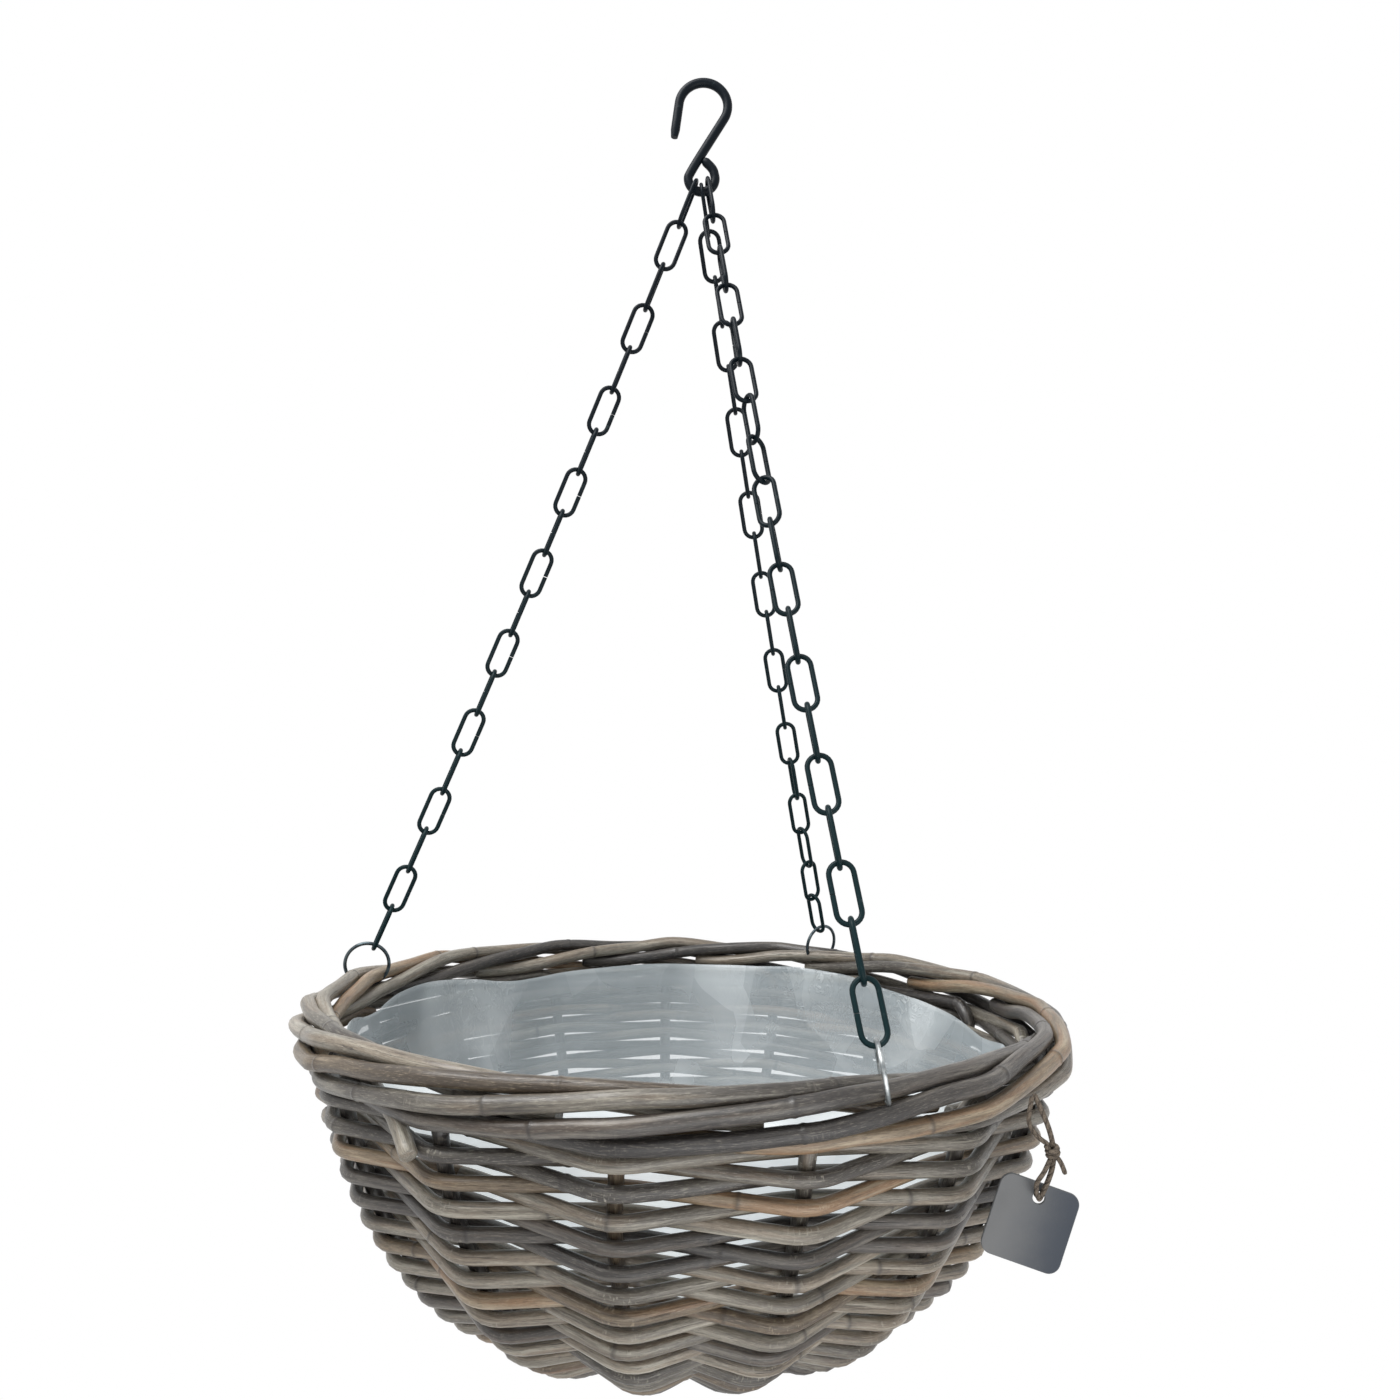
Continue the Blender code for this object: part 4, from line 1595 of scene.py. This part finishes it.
@dataclass
class Chain:
    """One chain: its links from the hook's eye down to a ring that holds the border."""

    name: str
    angle: float
    side: int
    ring_turn: float = 0.0
    ring_finish: ZincFinish = ZINC
    twisted: tuple[int, int] = (4, 10)  # the links between which the chain turns
    links: int = 19
    pitch: float = 24.0
    wire: float = 2.4
    width: float = 12.8
    top_width: float = 14.0
    top_wire: float = 2.1  # thinner, to stay clear of the hook's eye as the basket swings
    sag: float = 2.8
    eye_spread: float = 3.1
    eye_radius: float = 7.3
    hook_wire: float = 5.0
    gap: float = 0.3
    butt: float = 0.35  # the gap between the wire's two ends
    bend_steps: int = 12
    ring_wire: float = 2.0
    ring_radius: float = 12.0
    ring_centre: tuple[float, float] = (185.2, 12.4)

    def ends(self) -> tuple[Vector, Vector, Vector]:
        """The places that the chain hangs between.

        Returns:
            The chain's first point, its last at the top of the ring's hole, and the ring's centre.
        """
        seat = self.eye_radius - self.hook_wire / 2 - self.wire / 2 - self.gap
        rise = self.eye_radius - math.sqrt(seat ** 2 - (self.side * self.eye_spread) ** 2) - self.wire / 2
        start = Vector((self.side * self.eye_spread, 0.0, EYE_BOTTOM_Z + rise))
        centre = polar(self.ring_centre[0], self.angle, self.ring_centre[1])
        end = centre + (start - centre).normalized() * (self.ring_radius - self.ring_wire / 2)
        return start, end, centre

    def pins(self) -> list[Vector]:
        """The points where one link bears on the next, on a line that sags a little.

        Returns:
            One more point than there are links, from the top down.
        """
        start, end, _ = self.ends()
        along = (end - start).normalized()
        droop = Vector((0, 0, -1)) + along * along.z
        droop.normalize()
        pins = []
        for index in range(self.links + 1):
            part = index / self.links
            pins.append(start.lerp(end, part) + droop * self.sag * 4 * part * (1 - part))
        return pins

    def frames(self) -> list[tuple[Vector, Matrix]]:
        """How each link stands.

        The first link's plane fits the hook's eye and the last one's fits the ring. The links between
        those that the field twisted names turn from the one to the other, and the rest keep in line.

        Returns:
            Each link's centre and rotation, with Z along the link and Y its plane's normal.
        """
        start, end, _ = self.ends()
        along = (end - start).normalized()
        pins = self.pins()
        ring_turned = Matrix.Rotation(math.radians(self.ring_turn), 3, -along)
        outward = ring_turned @ polar(1.0, self.angle, -BASKET_Z)
        first = Vector((1, 0, 0)) - along * along.x
        last = outward - along * along.dot(outward)
        if first.dot(last) < 0:
            last.negate()
        twist = math.atan2(along.dot(first.cross(last)), first.dot(last))
        found = []
        top, foot = self.twisted
        for index in range(self.links):
            axis = (pins[index + 1] - pins[index]).normalized()
            part = min(max((index - top) / (foot - top), 0.0), 1.0)
            quarter = math.pi / 2 if index % 2 else 0.0
            normal = Matrix.Rotation(twist * eased(part) + quarter, 3, along) @ first.normalized()
            normal = (normal - axis * normal.dot(axis)).normalized()
            across = normal.cross(axis)
            turned = Matrix((across, normal, axis)).transposed()
            found.append(((pins[index] + pins[index + 1]) / 2, turned))
        return found

    def outline(self, width: float) -> bpy.types.Object:
        """One link's bent wire: an open line that starts and ends at the butted gap in its long side.

        Args:
            width: The link's outer width.

        Returns:
            An object to be removed once the links are made.
        """
        bend = (width - self.wire) / 2
        straight = (self.pitch + self.wire) / 2 - bend
        upper = arc((0.0, straight), bend, 0.0, 180.0, self.bend_steps)
        right = [(bend, straight * i / 3) for i in range(3)] + upper
        left = arc((0.0, -straight), bend, 180.0, 360.0, self.bend_steps)
        flat = right + left + [(bend, -straight * i / 3) for i in (2, 1, 0)]
        flat[0], flat[-1] = (bend, self.butt / 2), (bend, -self.butt / 2)
        line = np.array([(x, 0.0, z) for x, z in flat])
        name = f"{self.name}_outline"
        return new_object(name, line_mesh(name, line))

    def run(self, shop: Workshop, name: str, chosen: list[tuple[Vector, Matrix]],
            outline: bpy.types.Object, wire: float) -> bpy.types.Object:
        """Some of the chain's links as one piece.

        Args:
            shop: The shared trees.
            name: The piece's name.
            chosen: The links' centres and rotations.
            outline: One link's bent line.
            wire: The wire's diameter.

        Returns:
            The piece.
        """
        mesh = bpy.data.meshes.new(name)
        mesh.from_pydata([tuple(centre * MM) for centre, _ in chosen], [], [])
        turn = mesh.attributes.new("turn", "FLOAT_VECTOR", "POINT")
        turn.data.foreach_set("vector", [angle for _, turned in chosen for angle in turned.to_euler()])
        return shop.links.run(name, mesh, Outline=outline, Wire_Radius=wire / 2 * MM, Sides=14,
                              Finish=shop.finish(CHAIN_PAINT))

    def ring_line(self) -> np.ndarray:
        """The ring's centre line: it stands through the border, turned a little from the chain's plane.

        Returns:
            The points in millimetres.
        """
        _, end, centre = self.ends()
        up = (end - centre).normalized()
        turned = Matrix.Rotation(math.radians(self.ring_turn), 3, up)
        across = turned @ up.cross(polar(1.0, self.angle + 90.0, -BASKET_Z))
        turns = np.radians(np.arange(0.0, 360.0, 6.0))
        return np.array([tuple(centre + (up * math.cos(t) + across * math.sin(t)) * self.ring_radius)
                         for t in turns])

    def build(self, shop: Workshop) -> None:
        """Make the chain's links and its ring.

        Args:
            shop: The shared trees and finishes.
        """
        frames = self.frames()
        stretches = (
            ("chain_top_link", frames[:1], self.top_width, self.top_wire),
            ("chain", frames[1:-1], self.width, self.wire),
            ("chain_bottom_link", frames[-1:], self.width, self.wire),
        )
        for name, chosen, width, wire in stretches:
            node = f"{self.name}_{name}"
            outline = self.outline(width)
            dress(self.run(shop, f"{node}_wire", chosen, outline, wire), Body.BASKET, Slot.PAINT, node)
            bpy.data.objects.remove(outline, do_unlink=True)
        ring = shop.wire(f"{self.name}_ring_wire", self.ring_line(), self.ring_wire,
                         shop.finish(self.ring_finish), sides=14, closed=True)
        dress(ring, Body.BASKET, Slot.ZINC, f"{self.name}_ring")


@dataclass
class Tag:
    """The blank square tag: a thin plate with round corners, broken edges and one hole."""

    side: float = 34.0
    thickness: float = 1.2
    corner: float = 5.0
    hole: float = 2.5
    hole_inset: float = 6.0
    tilt: float = 18.0
    edge: float = 0.3
    flat_rings: tuple[int, int] = (3, 7)  # the strips between loops that are its back and its front
    place: tuple[float, float, float] = (148.9, -131.5, -46.0)

    def outline(self, shrink: float) -> list[tuple[float, float]]:
        """The plate's edge in its own plane.

        Args:
            shrink: How far it is drawn in.

        Returns:
            The points, with the hole's centre at 0, 0.
        """
        hole_z, half = self.side / 2 - self.hole_inset, self.side / 2 - self.corner
        points = []
        for corner, (sx, sz) in enumerate(((1, 1), (-1, 1), (-1, -1), (1, -1))):
            centre = (sx * half, sz * half - hole_z)
            points += arc(centre, self.corner - shrink, 90.0 * corner, 90.0 * corner + 90.0, 11)
        return points

    def loops(self) -> list[list[tuple[float, float, float]]]:
        """The plate's loops of points: from front to back round its edge, and back round its hole.

        Returns:
            Eight loops, each with the same count of points.
        """
        back = self.thickness / 2
        levels = [(-back, self.edge), (-back + self.edge, 0.0), (back - self.edge, 0.0), (back, self.edge)]
        loops = [[(x, y, z) for x, z in self.outline(shrink)] for y, shrink in levels]
        count = len(loops[0])
        start = math.atan2(loops[0][0][2], loops[0][0][0])
        turns = [start + 2 * math.pi * i / count for i in range(count)]
        for y, grow in reversed(levels):
            radius = self.hole + grow
            loops.append([(radius * math.cos(t), y, radius * math.sin(t)) for t in turns])
        return loops

    def build(self, shop: Workshop) -> None:
        """Make the tag.

        Args:
            shop: The shared trees and finishes.
        """
        loops = self.loops()
        count = len(loops[0])
        turned = Matrix.Rotation(math.radians(self.tilt), 3, "Y")
        place = Vector(self.place) + Vector((0, 0, BASKET_Z))
        points = [tuple((turned @ Vector(p) + place) * MM) for loop in loops for p in loop]
        faces = []
        for ring in range(len(loops)):
            here, there = ring * count, (ring + 1) % len(loops) * count
            for i in range(count):
                j = (i + 1) % count
                faces.append((here + i, here + j, there + j, there + i))
        mesh = bpy.data.meshes.new("tag_plate")
        mesh.from_pydata(points, [], faces)
        mesh.materials.append(shop.finish(TAG_METAL))
        across = mesh.attributes.new("across", "FLOAT", "POINT")
        across.data.foreach_set("value", [0.5 - x / self.side for loop in loops for x, _, _ in loop])
        edge = mesh.attributes.new("edge", "FLOAT", "FACE")
        bare = [0.0 if ring in self.flat_rings else 1.0 for ring in range(len(loops))]
        edge.data.foreach_set("value", np.repeat(bare, count).astype(np.float32))
        piece = new_object("tag_plate", mesh)
        dress(piece, Body.TAG, Slot.TAG, "tag")


@dataclass
class Twine:
    """The tag's twine: a leg from the border through the tag's hole, a second leg, a knot and its tail."""

    diameter: float = 2.2
    route: tuple[tuple[float, float, float], ...] = (
        (147.2, -130.5, -4.6),
        (149.0, -133.0, -9.4),
        (151.4, -134.6, -15.4),
        (153.2, -135.2, -21.6),
        (153.9, -135.3, -27.4),
        (153.4, -135.2, -32.8),
        (151.9, -134.9, -38.0),
        (150.0, -134.3, -42.8),
        (148.9, -133.1, -46.0),
        (148.9, -131.5, -46.0),
        (148.9, -127.5, -46.0),
    )
    second: tuple[tuple[float, float, float], ...] = (
        (146.0, -131.5, -5.5),
        (143.8, -135.4, -11.2),
        (143.6, -136.8, -15.0),
        (146.6, -137.2, -19.6),
        (151.0, -137.2, -22.8),
    )
    tail: tuple[tuple[float, float, float], ...] = (
        (153.0, -137.4, -26.0),
        (156.0, -137.6, -29.6),
        (158.1, -137.4, -34.4),
    )
    loop: tuple[tuple[float, float, float], ...] = (
        (152.4, -136.0, -29.0),
        (149.6, -137.0, -34.0),
        (146.8, -136.9, -38.4),
        (146.8, -136.2, -42.4),
        (148.3, -134.3, -45.0),
    )
    knot_turns: float = 2.5
    knot_radius: float = 2.1
    knot_start: float = 0.1
    knot_span: float = 0.7
    knot_shift: float = 1.4

    def smooth(self, route: Sequence[tuple[float, float, float]], cuts: int) -> np.ndarray:
        """Points on a smooth curve through a route's points.

        Args:
            route: The points that the twine passes, over the border's centre.
            cuts: How many stretches there are between two of them.

        Returns:
            The curve's points in millimetres.
        """
        marks = np.array(route) + np.array([0.0, 0.0, BASKET_Z])
        marks = np.vstack([2 * marks[0] - marks[1], marks, 2 * marks[-1] - marks[-2]])
        points = []
        for a, b, c, d in zip(marks, marks[1:], marks[2:], marks[3:]):
            for t in np.arange(cuts) / cuts:
                points.append(0.5 * (2 * b + (c - a) * t + (2 * a - 5 * b + 4 * c - d) * t ** 2
                                     + (3 * b - a - 3 * c + d) * t ** 3))
        return np.array(points + [marks[-2]])

    def knot(self) -> np.ndarray:
        """The knot: turns of twine round the two legs where they meet.

        Returns:
            The points in millimetres.
        """
        top, foot = Vector(self.second[-1]), Vector(self.loop[0])
        axis = (foot - top).normalized()
        side = axis.orthogonal().normalized()
        place = Vector((self.knot_shift, 0.0, BASKET_Z))
        points = []
        for share in np.linspace(0.0, 1.0, 31):
            turn = Matrix.Rotation(2 * math.pi * self.knot_turns * share, 3, axis)
            heart = top.lerp(foot, self.knot_start + self.knot_span * share)
            points.append(tuple(heart + turn @ side * self.knot_radius + place))
        return np.array(points)

    def build(self, shop: Workshop) -> None:
        """Args:
            shop: The shared trees and finishes.
        """
        line = self.smooth(self.route, 4)
        finish = shop.finish(TWINE_FIBRE)
        piece = shop.wire("tag_twine_leg", line, self.diameter, finish, sides=12)
        dress(piece, Body.TWINE, Slot.TWINE, "tag_twine")
        parts = [shop.wire(f"twine_{name}", self.smooth(route, 4), self.diameter * 0.9, finish, sides=12)
                 for name, route in (("second", self.second), ("tail", self.tail), ("loop", self.loop))]
        parts.append(shop.wire("twine_knot", self.knot(), self.diameter * 0.95, finish, sides=12))
        leg = join_pieces("tag_twine_second_leg", parts)
        dress(leg, Body.TWINE, Slot.TWINE)
        float(length_along(line)[-1] * MM)
        self.diameter * MM


@dataclass
class PhotoCamera:
    """The camera at the photograph's place, found from the chains and the basket's outline.

    Its place is over the border's centre, and its tilt and roll are in radians.
    """

    place: tuple[float, float, float] = (5.3, -635.0, 128.4)
    tilt: float = -0.054
    roll: float = 0.022
    lens: float = 30.857
    sensor: float = 36.0

    def build(self) -> None:
        """Make the camera and use it."""
        data = bpy.data.cameras.new("photo_camera")
        data.lens, data.sensor_width = self.lens, self.sensor
        data.clip_start, data.clip_end = 0.01, 50.0
        camera = new_object("photo_camera", data)
        ahead = Vector((0.0, math.cos(self.tilt), -math.sin(self.tilt)))
        up = Vector((0.0, math.sin(self.tilt), math.cos(self.tilt)))
        right = Vector((1.0, 0.0, 0.0))
        leant_right = right * math.cos(self.roll) + up * math.sin(self.roll)
        leant_up = up * math.cos(self.roll) - right * math.sin(self.roll)
        turned = Matrix((leant_right, leant_up, -ahead)).transposed().to_4x4()
        place = Vector(self.place) + Vector((0.0, 0.0, BASKET_Z))
        camera.matrix_world = Matrix.Translation(place * MM) @ turned
        bpy.context.scene.camera = camera


@dataclass
class Studio:
    """A pale floor well under the basket, soft lamps and an even white world."""

    floor_z: float = -1200.0
    floor_radius: float = 950.0
    floor_sides: int = 96
    world: float = 0.55

    def lamp(self, name: str, place: tuple[float, float, float], size: float, power: float) -> None:
        """A square soft lamp that points at the basket.

        Args:
            name: The lamp's name.
            place: Its place, over the border's centre.
            size: Its side.
            power: Its power in watts.
        """
        data = bpy.data.lights.new(name, "AREA")
        data.size, data.energy = size * MM, power
        light = new_object(name, data)
        at = Vector(place) + Vector((0.0, 0.0, BASKET_Z))
        light.location = at * MM
        light.rotation_mode = "QUATERNION"
        light.rotation_quaternion = (Vector((0.0, 0.0, BASKET_Z)) - at).to_track_quat("-Z", "Y")
        light.visible_camera = False

    def floor(self) -> None:
        """Make the floor, a flat disc."""
        mesh = bpy.data.meshes.new("studio_floor")
        radius, height = self.floor_radius * MM, self.floor_z * MM
        turns = np.linspace(0.0, 2 * math.pi, self.floor_sides, endpoint=False)
        rim = [(radius * math.cos(t), radius * math.sin(t), height) for t in turns]
        mesh.from_pydata(rim, [], [tuple(range(len(rim)))])
        mesh.materials.append(FLOOR.material())
        new_object("studio_floor", mesh)

    def sky(self) -> None:
        """Make the world: soft light on the object, and plain white where it is seen or mirrored."""
        world = bpy.data.worlds.new("studio_world")
        bpy.context.scene.world = world
        world.use_nodes = True
        lit = world.node_tree.nodes["Background"]
        sky = NodeTree(world.node_tree)
        white = (1.0, 1.0, 1.0, 1.0)
        for key, given in (("Color", white), ("Strength", self.world)):
            sky.feed(lit.inputs[key], given)
        seen = sky.node("ShaderNodeBackground", None, {"Color": white, "Strength": 1.0})
        path = sky.node("ShaderNodeLightPath")
        total = path.outputs["Is Camera Ray"]
        for name in ("Is Glossy Ray", "Is Transmission Ray"):
            total = sky.node("ShaderNodeMath", {"operation": "ADD", "use_clamp": True},
                             {0: total, 1: path.outputs[name]}).outputs[0]
        either = sky.node("ShaderNodeMixShader", None, {0: total, 1: lit.outputs[0], 2: seen.outputs[0]})
        sky.feed(world.node_tree.nodes["World Output"].inputs[0], either.outputs[0])

    def build(self) -> None:
        """Make the floor, the lamps and the world, and set the view."""
        self.floor()
        self.lamp("key_lamp", (-560.0, -430.0, 1250.0), 900.0, 25.0)
        self.lamp("fill_lamp", (350.0, -950.0, -380.0), 1100.0, 8.0)
        self.sky()
        bpy.context.scene.view_settings.view_transform = "Standard"


def main() -> None:
    """Build the camera, the twine and every other piece in order."""
    logging.basicConfig(level=logging.INFO, format="%(name)s: %(message)s")
    PhotoCamera().build()
    shop = Workshop()
    Twine().build(shop)
    Tag().build(shop)
    Hook().build(shop)
    # The front ring wears the lighter copy of the zinc, a painted glint.
    chains = [Chain("left", 165.0, -1, ring_turn=28.0, twisted=(0, 5)),
              Chain("back", 61.5, 0, ring_turn=-25.0, twisted=(12, 18)),
              Chain("front", -65.0, 1, ring_turn=-30.0, ring_finish=PAINTED_GLINT_ZINC)]
    for chain in chains:
        chain.build(shop)
    wall = Wall()
    Stakes(wall, tuple(chain.angle for chain in chains)).build(shop)
    Weave(wall).build(shop)
    Base(wall).build(shop)
    Liner(wall).build(shop)
    Studio().build()


if __name__ == "__main__":
    main()
